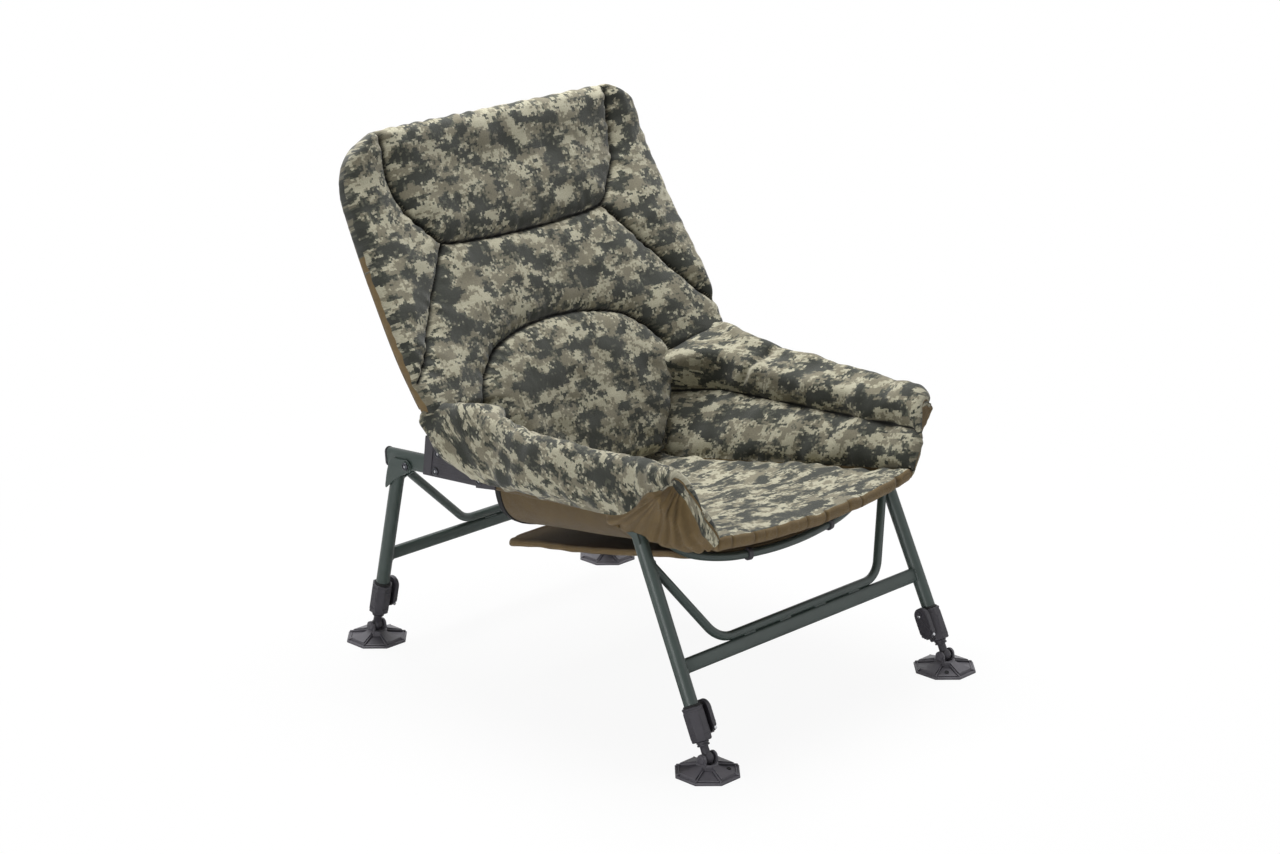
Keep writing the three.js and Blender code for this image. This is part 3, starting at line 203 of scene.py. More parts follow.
def along_pairs(pairs, place):
    """Value of a smooth curve through (place, value) pairs that doesn't swing past them."""
    x, y = np.array(pairs, float).T
    step = np.diff(x)
    slope = np.diff(y) / step
    tangent = np.r_[slope[0], np.zeros(len(slope) - 1), slope[-1]]
    same = slope[:-1] * slope[1:] > 0
    tangent[1:-1][same] = 2 * slope[:-1][same] * slope[1:][same] / (slope[:-1] + slope[1:])[same]
    at = np.clip(place, x[0], x[-1])
    k = np.clip(np.searchsorted(x, at) - 1, 0, len(step) - 1)
    t = (at - x[k]) / step[k]
    start = (1 + 2 * t) * (1 - t) ** 2 * y[k] + t * (1 - t) ** 2 * step[k] * tangent[k]
    return start + t * t * (3 - 2 * t) * y[k + 1] + t * t * (t - 1) * step[k] * tangent[k + 1]


def lengths(points):
    return np.r_[0, np.cumsum(np.linalg.norm(np.diff(points, axis=0), axis=1))]


def curve_through(points, count):
    """Evenly spaced points on a smooth curve through the given ones."""
    points = np.asarray(points, float)
    ends = np.vstack([2 * points[0] - points[1], points, 2 * points[-1] - points[-2]])
    fine = []
    for a, b, c, d in zip(ends, ends[1:], ends[2:], ends[3:]):
        t = np.linspace(0, 1, 12, endpoint=False)[:, None]
        fine.append(0.5 * (2 * b + (c - a) * t + (2 * a - 5 * b + 4 * c - d) * t**2
                           + (3 * b - a - 3 * c + d) * t**3))
    return resampled(np.vstack([*fine, points[-1:]]), count)


def resampled(points, count):
    run = lengths(points)
    at = np.linspace(0, run[-1], count)
    return np.stack([np.interp(at, run, points[:, k]) for k in range(points.shape[1])], axis=1)


def bent(corners, radius, steps=10):
    """Straight runs with round corners between them."""
    corners = np.asarray(corners, float)
    points = [corners[0]]
    for before, here, after in zip(corners, corners[1:], corners[2:]):
        into = (here - before) / np.linalg.norm(here - before)
        out = (after - here) / np.linalg.norm(after - here)
        angle = math.acos(np.clip(into @ out, -1, 1))
        start = here - into * radius * math.tan(angle / 2)
        side = out - into * (out @ into)
        side /= np.linalg.norm(side)
        for k in range(steps + 1):
            a = angle * k / steps
            points.append(start + into * radius * math.sin(a) + side * radius * (1 - math.cos(a)))
    return np.array([*points, corners[-1]])


def waves(places, wavelength, seed, count=9):
    """Smooth random field with values of about -1 to 1, the same on every run."""
    places = np.asarray(places, float)
    if places.ndim == 1:
        places = places[:, None]
    rng = np.random.default_rng(seed)
    total = 0
    for _ in range(count):
        direction = rng.normal(size=places.shape[-1])
        direction /= np.linalg.norm(direction)
        reach = wavelength * rng.uniform(0.7, 1.6)
        total = total + np.sin(places @ direction * (2 * math.pi / reach) + rng.uniform(0, 2 * math.pi))
    return total / math.sqrt(count)


def inside(points, outline):
    """Which of the points lie inside a closed outline."""
    x, y = points[..., 0], points[..., 1]
    result = np.zeros(x.shape, bool)
    for (x0, y0), (x1, y1) in zip(outline, np.roll(outline, -1, axis=0)):
        crosses = (y0 > y) != (y1 > y)
        at = x0 + (x1 - x0) * (y - y0) / (y1 - y0 if y1 != y0 else 1e-9)
        result ^= crosses & (x < at)
    return result


# Solid shapes as (points, faces), in millimetres.
def circle(radius, sides=24, phase=0.0):
    angle = phase + np.arange(sides) * 2 * math.pi / sides
    return np.stack([radius * np.cos(angle), radius * np.sin(angle)], axis=1)


def flat_oval(wide, tall, steps=9):
    radius = wide / 2
    straight = tall / 2 - radius
    angle = np.linspace(0, math.pi, steps)
    top = np.stack([radius * np.cos(angle), straight + radius * np.sin(angle)], axis=1)
    return np.vstack([top, -top])


def rings_to_faces(count, around, closed_ends=True, first=0):
    faces = []
    for r in range(count - 1):
        for k in range(around):
            a, b = first + r * around + k, first + r * around + (k + 1) % around
            faces.append((a, b, b + around, a + around))
    if closed_ends:
        faces.append(tuple(first + k for k in reversed(range(around))))
        last = first + (count - 1) * around
        faces.append(tuple(last + k for k in range(around)))
    return faces


def path_frames(path, up):
    tangent = np.gradient(path, axis=0)
    tangent /= np.linalg.norm(tangent, axis=1)[:, None]
    side = np.cross(tangent[0], up)
    if np.linalg.norm(side) < 1e-6:
        side = np.cross(tangent[0], (0, 1, 0))
    sides = []
    for t in tangent:
        side = side - t * (side @ t)
        side /= np.linalg.norm(side)
        sides.append(side)
    sides = np.array(sides)
    return tangent, sides, np.cross(sides, tangent)


def tube(path, section, up=(0, 0, 1), round_end=0.9):
    """A closed bar of one section along a path, its ends rounded over a little."""
    path = np.asarray(path, float)
    tangent, side, rise = path_frames(path, up)
    size = np.abs(section).max()
    rings = []
    for p, s, r in zip(path, side, rise):
        rings.append(p + section[:, :1] * s + section[:, 1:] * r)
    shoulder = 1 - round_end / size
    first = path[0] + (rings[0] - path[0]) * shoulder
    last = path[-1] + (rings[-1] - path[-1]) * shoulder
    rings[0] = rings[0] + tangent[0] * round_end
    rings[-1] = rings[-1] - tangent[-1] * round_end
    rings = [first, *rings, last]
    return np.vstack(rings), rings_to_faces(len(rings), len(section))


def bead(path, radius, seed=1, sides=8):
    """A closed loop of weld bead with small ripples."""
    path = np.asarray(path, float)
    tangent = np.roll(path, -1, axis=0) - np.roll(path, 1, axis=0)
    tangent /= np.linalg.norm(tangent, axis=1)[:, None]
    centre = path.mean(axis=0)
    out = path - centre
    out -= tangent * np.sum(out * tangent, axis=1)[:, None]
    out /= np.linalg.norm(out, axis=1)[:, None]
    other = np.cross(tangent, out)
    swell = radius * (1 + 0.22 * waves(np.arange(len(path)) * 1.0, 3.1, seed))
    angle = np.arange(sides) * 2 * math.pi / sides
    ring = out[:, None] * np.cos(angle)[None, :, None] + other[:, None] * np.sin(angle)[None, :, None]
    points = (path[:, None] + ring * swell[:, None, None]).reshape(-1, 3)
    n = len(path)
    faces = [(r * sides + k, r * sides + (k + 1) % sides,
              (r + 1) % n * sides + (k + 1) % sides, (r + 1) % n * sides + k)
             for r in range(n) for k in range(sides)]
    return points, faces


def turned(profile, sides=32, phase=0.0):
    """A turned solid about z from (radius, height) pairs that start and end on the axis."""
    points, faces, rings = [], [], []
    for radius, height in profile:
        if radius < 1e-9:
            rings.append([len(points)])
            points.append((0, 0, height))
        else:
            rings.append(list(range(len(points), len(points) + sides)))
            points += [(x, y, height) for x, y in circle(radius, sides, phase)]
    for low, high in zip(rings, rings[1:]):
        for k in range(sides):
            n = (k + 1) % sides
            if len(low) == 1 and len(high) > 1:
                faces.append((low[0], high[n], high[k]))
            elif len(high) == 1 and len(low) > 1:
                faces.append((low[k], low[n], high[0]))
            elif len(low) > 1:
                faces.append((low[k], low[n], high[n], high[k]))
    return np.array(points, float), faces


def prism(outline, low, high):
    """An extrusion of an (x, y) outline from z low to z high."""
    outline = np.asarray(outline, float)
    points = np.vstack([np.c_[outline, np.full(len(outline), z)] for z in (low, high)])
    return points, rings_to_faces(2, len(outline))


# Puts a (y, z) outline upright, with its depth along x.
SIDEWAYS = np.array([[0, 0, 1, 0], [1, 0, 0, 0], [0, 1, 0, 0], [0, 0, 0, 1]], float)


def side_prism(outline, one, other):
    points, faces = prism(outline, *sorted((one, other)))
    return placed(SIDEWAYS, points), faces


def box(low, high):
    (x0, y0, z0), (x1, y1, z1) = low, high
    return prism([(x0, y0), (x1, y0), (x1, y1), (x0, y1)], z0, z1)


class Shape:
    """Solid shapes gathered in millimetres for one object, each with the number of its finish."""

    def __init__(self):
        self.points, self.faces, self.finish, self.count = [], [], [], 0

    def add(self, solid, finish=0, matrix=None):
        points, faces = solid
        if matrix is not None:
            points = placed(matrix, points)
        self.points.append(np.asarray(points, float))
        self.faces += [tuple(int(i) + self.count for i in face) for face in faces]
        self.finish += [finish] * len(faces)
        self.count += len(points)
        return self

    def join(self, other):
        self.points += other.points
        self.faces += [tuple(i + self.count for i in face) for face in other.faces]
        self.finish += other.finish
        self.count += other.count
        return self

    def mirrored(self):
        for points in self.points:
            points[:, 0] *= -1
        return self

    def moved(self, matrix):
        self.points = [placed(matrix, points) for points in self.points]
        return self


def linked(name, mesh):
    piece = bpy.data.objects.new(name, mesh)
    bpy.context.scene.collection.objects.link(piece)
    return piece


def outwards(mesh):
    work = bmesh.new()
    work.from_mesh(mesh)
    bmesh.ops.remove_doubles(work, verts=work.verts, dist=1e-7)
    bmesh.ops.recalc_face_normals(work, faces=work.faces)
    work.to_mesh(mesh)
    work.free()


def hard_piece(name, shape, finishes, body, nodes, edge=None, smooth=34):
    """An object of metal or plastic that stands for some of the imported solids."""
    mesh = bpy.data.meshes.new(name)
    mesh.from_pydata(np.vstack(shape.points) / 1000, [], shape.faces)
    for finish in finishes:
        mesh.materials.append(finish)
    mesh.polygons.foreach_set("material_index", shape.finish)
    outwards(mesh)
    mesh.polygons.foreach_set("use_smooth", [True] * len(mesh.polygons))
    mesh.set_sharp_from_angle(angle=math.radians(smooth))
    piece = linked(name, mesh)
    if edge:
        bevel = piece.modifiers.new("Edges", "BEVEL")
        bevel.width, bevel.segments, bevel.limit_method = edge, 2, "ANGLE"
        bevel.angle_limit = math.radians(smooth)
        bevel.use_clamp_overlap = True
        bevel.harden_normals = False
        normals = piece.modifiers.new("Normals", "WEIGHTED_NORMAL")
        normals.keep_sharp = False
    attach(piece, body)
    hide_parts(*nodes)
    return piece


def soft_piece(name, points, faces, uv, finish, finishes, body, nodes, crease=None):
    """An object of cloth, its flat pattern kept in metres in the UV map named cloth.

    crease is 1 along a sewn line, where little light reaches, and 0 away from it."""
    mesh = bpy.data.meshes.new(name)
    mesh.from_pydata(np.asarray(points) / 1000, [], faces)
    layer = mesh.uv_layers.new(name="cloth")
    layer.data.foreach_set("uv", (np.asarray(uv, float) / 1000).ravel())
    for material in finishes:
        mesh.materials.append(material)
    mesh.polygons.foreach_set("material_index", finish)
    mesh.polygons.foreach_set("use_smooth", [True] * len(mesh.polygons))
    if crease is not None:
        depth = np.zeros(len(mesh.vertices))
        depth[:crease.size] = crease.ravel()
        mesh.attributes.new("crease", "FLOAT", "POINT").data.foreach_set("value", depth)
    piece = linked(name, mesh)
    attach(piece, body)
    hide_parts(*nodes)
    return piece


def at_corners(grid, order, axis):
    """What a grid holds at the four corners of each of its cells, in that order."""
    rows, columns = grid.shape[:2]
    return np.stack([grid[a:rows - 1 + a, b:columns - 1 + b] for a, b in order], axis=axis)


def cloth_grid(upper, lower, upper_uv, lower_uv, finish_of):
    """Two grids of points that share their rim, as points, faces, corner UVs and finishes."""
    rows, columns = upper.shape[:2]
    top = np.arange(rows * columns).reshape(rows, columns)
    bottom = top.copy()
    inner = rows * columns + np.arange((rows - 2) * (columns - 2)).reshape(rows - 2, columns - 2)
    bottom[1:-1, 1:-1] = inner
    points = np.vstack([upper.reshape(-1, 3), lower[1:-1, 1:-1].reshape(-1, 3)])
    faces, uv, finish = [], [], []
    for number, coords, layer in ((top, upper_uv, 0), (bottom, lower_uv, 1)):
        order = [(0, 0), (1, 0), (1, 1), (0, 1)]
        if layer:
            order.reverse()
        faces.append(at_corners(number, order, -1).reshape(-1, 4))
        uv.append(at_corners(coords, order, -2).reshape(-1, 4, 2))
        finish.append(finish_of(layer).ravel())
    return points, np.vstack(faces).tolist(), np.vstack(uv), np.concatenate(finish).astype(int)


# Materials.
class Finish:
    """One material, whose nodes are added by calls."""

    def __init__(self, name):
        self.material = bpy.data.materials.new(name)
        self.material.use_nodes = True
        self.tree = self.material.node_tree
        self.shader = self.tree.nodes["Principled BSDF"]

    def __call__(self, kind, values=None, output=0, **settings):
        node = self.tree.nodes.new("ShaderNode" + kind)
        for name, value in settings.items():
            setattr(node, name, value)
        for key, value in (values or {}).items():
            if isinstance(value, bpy.types.NodeSocket):
                self.tree.links.new(value, node.inputs[key])
            else:
                node.inputs[key].default_value = value
        return node.outputs[output]

    def mixed(self, share, first, second, blend="MIX"):
        return self("Mix", {0: share, 6: first, 7: second}, 2, data_type="RGBA", blend_type=blend)

    def span(self, value, low, high, out_low=0.0, out_high=1.0):
        return self("MapRange", {0: value, 1: low, 2: high, 3: out_low, 4: out_high})

    def noise(self, vector, scale, detail=2.0, rough=0.5):
        return self("TexNoise", {"Vector": vector, "Scale": scale, "Detail": detail, "Roughness": rough})

    def bump(self, height, distance, strength=1.0, normal=None):
        values = {"Strength": strength, "Distance": distance, "Height": height}
        if normal is not None:
            values["Normal"] = normal
        return self("Bump", values)

    def done(self, color=None, roughness=None, normal=None, **constants):
        for key, value in (("Base Color", color), ("Roughness", roughness), ("Normal", normal)):
            if isinstance(value, bpy.types.NodeSocket):
                self.tree.links.new(value, self.shader.inputs[key])
            elif value is not None:
                self.shader.inputs[key].default_value = value
        for key, value in constants.items():
            self.shader.inputs[key.replace("_", " ")].default_value = value
        return self.material


def opaque(colour):
    return (*colour, 1.0)


def toned(colour, share):
    return tuple(c * share for c in colour)


def camouflage(colours, sizes):
    """Brushed cloth with a blocky four-tone print that follows the flat pattern, with painted shade near
    black along the sewn lines.
    """
    f = Finish("camouflage cloth")
    flat = f("UVMap", uv_map="cloth")
    fuzz = f("TexNoise", {"Vector": flat, "Scale": 480.0, "Detail": 2.0}, 1)
    shaken = f("VectorMath", {0: fuzz, 1: (0.5, 0.5, 0.5)}, operation="SUBTRACT")
    shaken = f("VectorMath", {0: shaken, "Scale": 0.0046}, operation="SCALE")
    ragged = f("VectorMath", {0: flat, 1: shaken}, operation="ADD")
    step = sizes.print_step
    cell = f("VectorMath", {0: ragged, 1: (step, step * 0.94, 1)}, operation="SNAP")

    def field(shift, wide, tall, detail, rough):
        stretch = f("VectorMath", {0: cell, 1: (1 / wide, 1 / tall, 0)}, operation="MULTIPLY")
        at = f("VectorMath", {0: stretch, 1: shift}, operation="ADD")
        return f.noise(at, 1.0, detail, rough)

    blotch = sizes.blotch
    ground = field((3.1, 7.7, 0), blotch * 1.1, blotch * 0.8, 5.0, 0.78)
    shade = field((41.3, 17.9, 0), blotch * 1.35, blotch * 0.95, 5.0, 0.74)

    def above(value, limit, width=0.004):
        return f.span(value, limit - width, limit + width)

    print_colour = f.mixed(above(ground, 0.505, 0.012), opaque(colours.middle), opaque(colours.light))
    print_colour = f.mixed(above(shade, 0.502), print_colour, opaque(colours.dark))
    print_colour = f.mixed(above(shade, 0.528), print_colour, opaque(colours.darkest))
    seam = f("Attribute", {}, 2, attribute_name="crease")
    pile = f.noise(flat, 430.0, 3.0, 0.8)
    worn = f.noise(flat, 34.0, 3.0, 0.55)
    lit = f("Math", {0: f.span(pile, 0.3, 0.7, 0.74, 1.26), 1: f.span(worn, 0.3, 0.7, 0.94, 1.06)},
            operation="MULTIPLY")
    grey = f("CombineColor", {0: lit, 1: lit, 2: lit})
    colour = f.mixed(1.0, print_colour, grey, "MULTIPLY")
    # Painted shade: the colour goes near black where the crease attribute marks a sewn line.
    colour = f.mixed(f.span(seam, 0.05, 0.75), colour, opaque(toned(colours.darkest, 0.12)))
    soft = f.bump(f.noise(flat, 95.0, 3.0, 0.6), 0.0016, 0.5)
    normal = f.bump(f.noise(flat, 520.0, 3.0, 0.7), 0.0009, 0.8, soft)
    return f.done(colour, f.span(pile, 0.2, 0.8, 0.86, 0.98), normal,
                  Sheen_Weight=0.22, Sheen_Roughness=0.55, Specular_IOR_Level=0.2)


def woven(name, colour, sizes, lit_share=1.0):
    """Plain woven canvas with visible threads, slubs and rubbed places. A share above 1 makes a lighter copy,
    which is painted light, and sewn creases get painted shade.
    """
    f = Finish(name)
    flat = f("UVMap", uv_map="cloth")
    parts = f.tree.nodes.new("ShaderNodeSeparateXYZ")
    f.tree.links.new(flat, parts.inputs[0])
    turns = 2 * math.pi / sizes.weave

    def thread(axis):
        phase = f("Math", {0: parts.outputs[axis], 1: turns}, operation="MULTIPLY")
        return f("Math", {0: phase}, operation="SINE")

    cross = f("Math", {0: thread(0), 1: thread(1)}, operation="MULTIPLY")
    slub = f.noise(f("VectorMath", {0: flat, 1: (1, 9, 1)}, operation="MULTIPLY"), 120.0, 2.0, 0.6)
    rubbed = f.noise(flat, 26.0, 4.0, 0.6)
    # Painted light: the whole canvas colour is scaled up for the lit copy.
    base = toned(colour, lit_share)
    colour_now = f.mixed(f.span(rubbed, 0.35, 0.7), opaque(toned(base, 0.86)), opaque(toned(base, 1.14)))
    colour_now = f.mixed(f.span(cross, -1, 1, 0, 0.3), colour_now, opaque(toned(base, 0.62)))
    colour_now = f.mixed(f.span(slub, 0.55, 0.8, 0, 0.35), colour_now, opaque(toned(base, 1.4)))
    # Painted shade: darker along sewn lines and in pinched pleats, from the crease attribute.
    seam = f("Attribute", {}, 2, attribute_name="crease")
    colour_now = f.mixed(f.span(seam, 0.1, 1, 0, 0.8), colour_now, opaque(toned(base, 0.35)))
    crumple = f.bump(f.noise(flat, 38.0, 4.0, 0.6), 0.005, 0.6)
    normal = f.bump(cross, 0.00022, 0.8, crumple)
    return f.done(colour_now, f.span(rubbed, 0.3, 0.7, 0.74, 0.9), normal,
                  Sheen_Weight=0.12, Sheen_Roughness=0.5, Specular_IOR_Level=0.3)


def powder_coat(colours):
    f = Finish("powder coat")
    place = f("TexCoord", output=3)
    grain = f.noise(place, 900.0, 2.0, 0.6)
    cloud = f.noise(place, 16.0, 3.0, 0.6)
    scuff = f.span(f.noise(place, 240.0, 5.0, 0.7), 0.68, 0.74)
    base = colours.paint
    colour = f.mixed(f.span(cloud, 0.35, 0.65), opaque(toned(base, 0.92)), opaque(toned(base, 1.1)))
    colour = f.mixed(f("Math", {0: scuff, 1: 0.25}, operation="MULTIPLY"), colour, opaque(toned(base, 2.2)))
    rough = f.span(grain, 0.3, 0.7, 0.34, 0.5)
    return f.done(colour, rough, f.bump(grain, 0.00012, 0.5), Specular_IOR_Level=0.5)


def moulded(name, base, rough, grain_size=1300.0):
    f = Finish(name)
    place = f("TexCoord", output=3)
    grain = f.noise(place, grain_size, 2.0, 0.5)
    cloud = f.noise(place, 55.0, 3.0, 0.6)
    dust = f.span(f.noise(place, 22.0, 4.0, 0.65), 0.55, 0.8, 0, 0.22)
    colour = f.mixed(f.span(cloud, 0.3, 0.7), opaque(toned(base, 0.9)), opaque(toned(base, 1.1)))
    colour = f.mixed(dust, colour, opaque(toned(base, 1.9)))
    return f.done(colour, f.span(grain, 0.3, 0.7, rough - 0.06, rough + 0.08),
                  f.bump(grain, 0.00018, 0.6), Specular_IOR_Level=0.45)


def metal(name, base, rough):
    f = Finish(name)
    place = f("TexCoord", output=3)
    scratch = f.noise(f("VectorMath", {0: place, 1: (1, 1, 6)}, operation="MULTIPLY"), 500.0, 3.0, 0.6)
    colour = f.mixed(f.span(scratch, 0.35, 0.7), opaque(toned(base, 0.8)), opaque(toned(base, 1.2)))
    return f.done(colour, f.span(scratch, 0.3, 0.7, rough - 0.08, rough + 0.12),
                  f.bump(scratch, 0.00005, 0.4), Metallic=0.9)


def plain_finish(name, base, rough):
    f = Finish(name)
    place = f("TexCoord", output=3)
    grain = f.noise(place, 700.0, 3.0, 0.6)
    colour = f.mixed(f.span(grain, 0.3, 0.7), opaque(toned(base, 0.75)), opaque(toned(base, 1.3)))
    return f.done(colour, rough, f.bump(grain, 0.0003, 0.7))


FINISHES = {}


def finishes(*names):
    """The named materials, made once from the settings."""
    if not FINISHES:
        colours = bpy.context.scene.armchair_colours
        sizes = bpy.context.scene.armchair_sizes
        FINISHES.update(
            camo=camouflage(colours, sizes),
            canvas=woven("brown canvas", colours.canvas, sizes),
            # The hem finish is the canvas painted 1.4 times lighter: painted light for the lit hems, rims and
            # arm sides, while the plain canvas serves shaded places.
            hem=woven("lit brown hem", colours.canvas, sizes, 1.4),
            binding=plain_finish("black binding", colours.binding, 0.85),
            paint=powder_coat(colours),
            plastic=moulded("moulded plastic", colours.plastic, 0.5),
            rubber=moulded("moulded feet", colours.rubber, 0.42, 900.0),
            steel=metal("blackened steel", colours.steel, 0.36),
            bright=metal("bright rivets", colours.bright, 0.3),
        )
    return [FINISHES[name] for name in names]


# Frames of the moving groups.
SEAT_FRAME = move(*REAR_PIVOT) @ turn(0, -SLOPE)
BACK_FRAME = move(*HINGE) @ turn(0, -LEAN_BACK)
# The soft goods' sizes are counted from the rear pivot's design place.
SOFT_FRAME = move(*(REAR_PIVOT - PIVOT_PLACE))


def legs_frame(legs):
    return move(*legs["pivot"]) @ turn(2, legs["turned"]) @ turn(0, -math.radians(legs["lean"]))


def seated_at():
    return (BRACKET["top"] + BRACKET["foot"]) / 2


def leg_x(legs, depth):
    return legs["half"] + (depth - seated_at()) * legs["splay"]


def leg_axis(legs):
    return move(legs["half"] - seated_at() * legs["splay"], -BRACKET["reach"], 0) @ turn(
        1, -math.atan(legs["splay"]))


def ball_depth(legs):
    lean = math.radians(legs["lean"])
    return (legs["pivot"][2] - FOOT["ball"] + BRACKET["reach"] * math.sin(lean)) / math.cos(lean)


def clamp_foot(legs):
    return ball_depth(legs) - STEM["ball"] - STEM["neck_long"] - STEM["collar_long"] - 0.3


def each_leg():
    """Each leg as (its pair, its name, whether it is mirrored)."""
    for legs in (FRONT_LEGS, REAR_LEGS):
        for side in (1, -1):
            left = side * (-1 if legs["turned"] else 1) > 0
            yield legs, f"{legs['name']}_{'left' if left else 'right'}", side < 0


def on_leg(shape, legs, mirrored):
    """A shape made on the leg's own axis, put in the chair."""
    shape.moved(leg_axis(legs))
    if mirrored:
        shape.mirrored()
    return shape.moved(legs_frame(legs))


# Shapes of the metal frame.
def rail_shape():
    path = np.array([(0, RAIL["behind"], RAIL["rise"]), (0, -RAIL_END, RAIL["rise"])], float)
    path = resampled(path, 12)
    section = flat_oval(RAIL["wide"], RAIL["tall"], 12)
    return tube(path, section, round_end=0.7)


def front_bar_line():
    """Middle line of the bent bar under the front of the seat, in the seat frame."""
    shares = [(1, -0.526, 0), (1, -0.066, 0), (1, 0.05, 0), (0.991, 0.153, 0.034), (0.965, 0.333, 0.117),
              (0.935, 0.437, 0.242), (0.901, 0.47, 0.373), (0.845, 0.491, 0.569), (0.713, 0.637, 0.771),
              (0.488, 0.842, 0.919), (0.225, 0.974, 0.981), (0, 1, 1)]
    half = np.array([(a * RAIL["half"], -RAIL_END - f * 57, RAIL["rise"] - d * 108) for a, f, d in shares])
    line = np.vstack([half, half[-2::-1] * (-1, 1, 1)])
    return curve_through(line, 150)


def bar_at(x):
    """Middle of the front bar at places across the chair, in the soft goods' frame."""
    line = placed(np.linalg.inv(SOFT_FRAME) @ SEAT_FRAME, front_bar_line())
    line = line[5:-5][::-1]
    return np.stack([np.interp(x, line[:, 0], line[:, k]) for k in range(3)], axis=-1)


def weld_ring(legs, section, depth):
    """Loop where a bar of that section meets the leg tube."""
    outline = resampled(np.vstack([section, section[:1]]), 41)[:-1] * 1.03
    reach = np.sqrt(np.maximum((TUBE + 0.2) ** 2 - outline[:, 0] ** 2, 1))
    x = leg_x(legs, depth) - reach
    return np.stack([x, -BRACKET["reach"] + outline[:, 0], -depth + outline[:, 1]], axis=1)


class ARMCHAIR_OT_tubes(Operator):
    """Make the painted tubes: rails, front bar, legs, crossbars, braces and backrest hoop"""
    bl_idname = "armchair.tubes"
    bl_label = "Tubes"

    def execute(self, context):
        paint = finishes("paint")
        for side, word in SIDES:
            shape = Shape().add(rail_shape(), 0, SEAT_FRAME @ move(side * RAIL["half"]))
            hard_piece(f"{word}_rail_tube", shape, paint, "seat", [f"{word}_seat_rail"])
        shape = Shape().add(tube(front_bar_line(), circle(BAR, 20)), 0, SEAT_FRAME)
        hard_piece("front_bar_tube", shape, paint, "seat", ["front_bar"])
        for legs in (FRONT_LEGS, REAR_LEGS):
            self.leg_pair(legs, paint)
        half, top, corner = RAIL["half"], BACK["tube_top"], BACK["tube_corner"]
        hoop = bent([(half, 0, -9), (half, 0, top), (-half, 0, top), (-half, 0, -9)], corner, 18)
        shape = Shape().add(tube(hoop, circle(BACK["tube"], 28), (0, 1, 0), 3.5), 0, BACK_FRAME)
        hard_piece("backrest_hoop", shape, paint, "backrest", ["backrest_frame"])
        return {"FINISHED"}

    def leg_pair(self, legs, paint):
        body = f"{legs['name']}_legs"
        place = legs_frame(legs)
        reach = BRACKET["reach"]
        for pair, name, mirrored in each_leg():
            if pair is legs:
                foot = clamp_foot(legs) - (CLAMP["long"] - CLAMP["overlap"])
                line = resampled(np.array([(0, 0, -BRACKET["top"] - 0.6), (0, 0, -foot)], float), 6)
                shape = on_leg(Shape().add(tube(line, circle(TUBE, 32))), legs, mirrored)
                hard_piece(f"{name}_tube", shape, paint, body, [f"{name}_leg"])
        depth = legs["bar_top"] + 11.5
        section = flat_oval(12, 23, 10)
        x = leg_x(legs, depth) - 4
        line = resampled(np.array([(-x, -reach, -depth), (x, -reach, -depth)], float), 12)
        shape = Shape().add(tube(line, section, (0, 0, 1)))
        ring = weld_ring(legs, section, depth)
        shape.add(bead(ring, 1.5, 3)).add(bead(ring * (-1, 1, 1), 1.5, 4))
        for at in (-120, -40, 40, 120):
            if abs(at) < legs["brace_corner"] - 40:
                for y in (-reach - 3.4, -reach + 3.4):
                    run = np.linspace(at - 13, at + 13, 15)
                    line = np.stack([run, np.full(15, y), np.full(15, -legs["bar_top"] + 0.2)], axis=1)
                    shape.add(tube(line, circle(1.9, 8), round_end=1.2))
        shape.moved(place)
        hard_piece(f"{legs['name']}_crossbar_tube", shape, paint, body, [f"{legs['name']}_crossbar"])

        top = legs["brace_top"]
        start = np.array([leg_x(legs, top), -reach, -top + TUBE])
        corner = np.array([legs["brace_corner"], -reach, -legs["brace_axis"]])
        limit = start[0] - 4 if top > BRACKET["foot"] else legs["half"] - 14.6
        start = start + (corner - start) * (start[0] - limit) / (start[0] - corner[0])
        line = bent([start, corner, corner * (-1, 1, 1), start * (-1, 1, 1)], 50, 14)
        shape = Shape().add(tube(line, circle(7, 22), (0, 1, 0)))
        if top > BRACKET["foot"]:
            slope = (corner - start) / np.linalg.norm(corner - start)
            at = start + slope * (TUBE - 3)
            other = np.cross(slope, (0, 1, 0))
            angle = np.linspace(0, 2 * math.pi, 36, endpoint=False)[:, None]
            ring = at + 7.4 * (np.cos(angle) * np.array((0, 1, 0)) + np.sin(angle) * other)
            reach_x = leg_x(legs, -ring[:, 2]) - np.sqrt(np.maximum(
                (TUBE + 0.2) ** 2 - (ring[:, 1] + reach) ** 2, 1))
            ring += slope * ((reach_x - ring[:, 0]) / slope[0])[:, None]
            shape.add(bead(ring, 1.4, 5)).add(bead(ring * (-1, 1, 1), 1.4, 6))
        shape.moved(place)
        hard_piece(f"{legs['name']}_brace_tube", shape, paint, body, [f"{legs['name']}_brace"])


def arc_sheet(inner, outer, start, end, low, high, steps=20):
    """A curved sheet about z between two radii and two angles."""
    angle = np.linspace(start, end, steps)
    out = np.stack([outer * np.cos(angle), outer * np.sin(angle)], axis=1)
    inn = np.stack([inner * np.cos(angle), inner * np.sin(angle)], axis=1)[::-1]
    return prism(np.vstack([out, inn]), low, high)


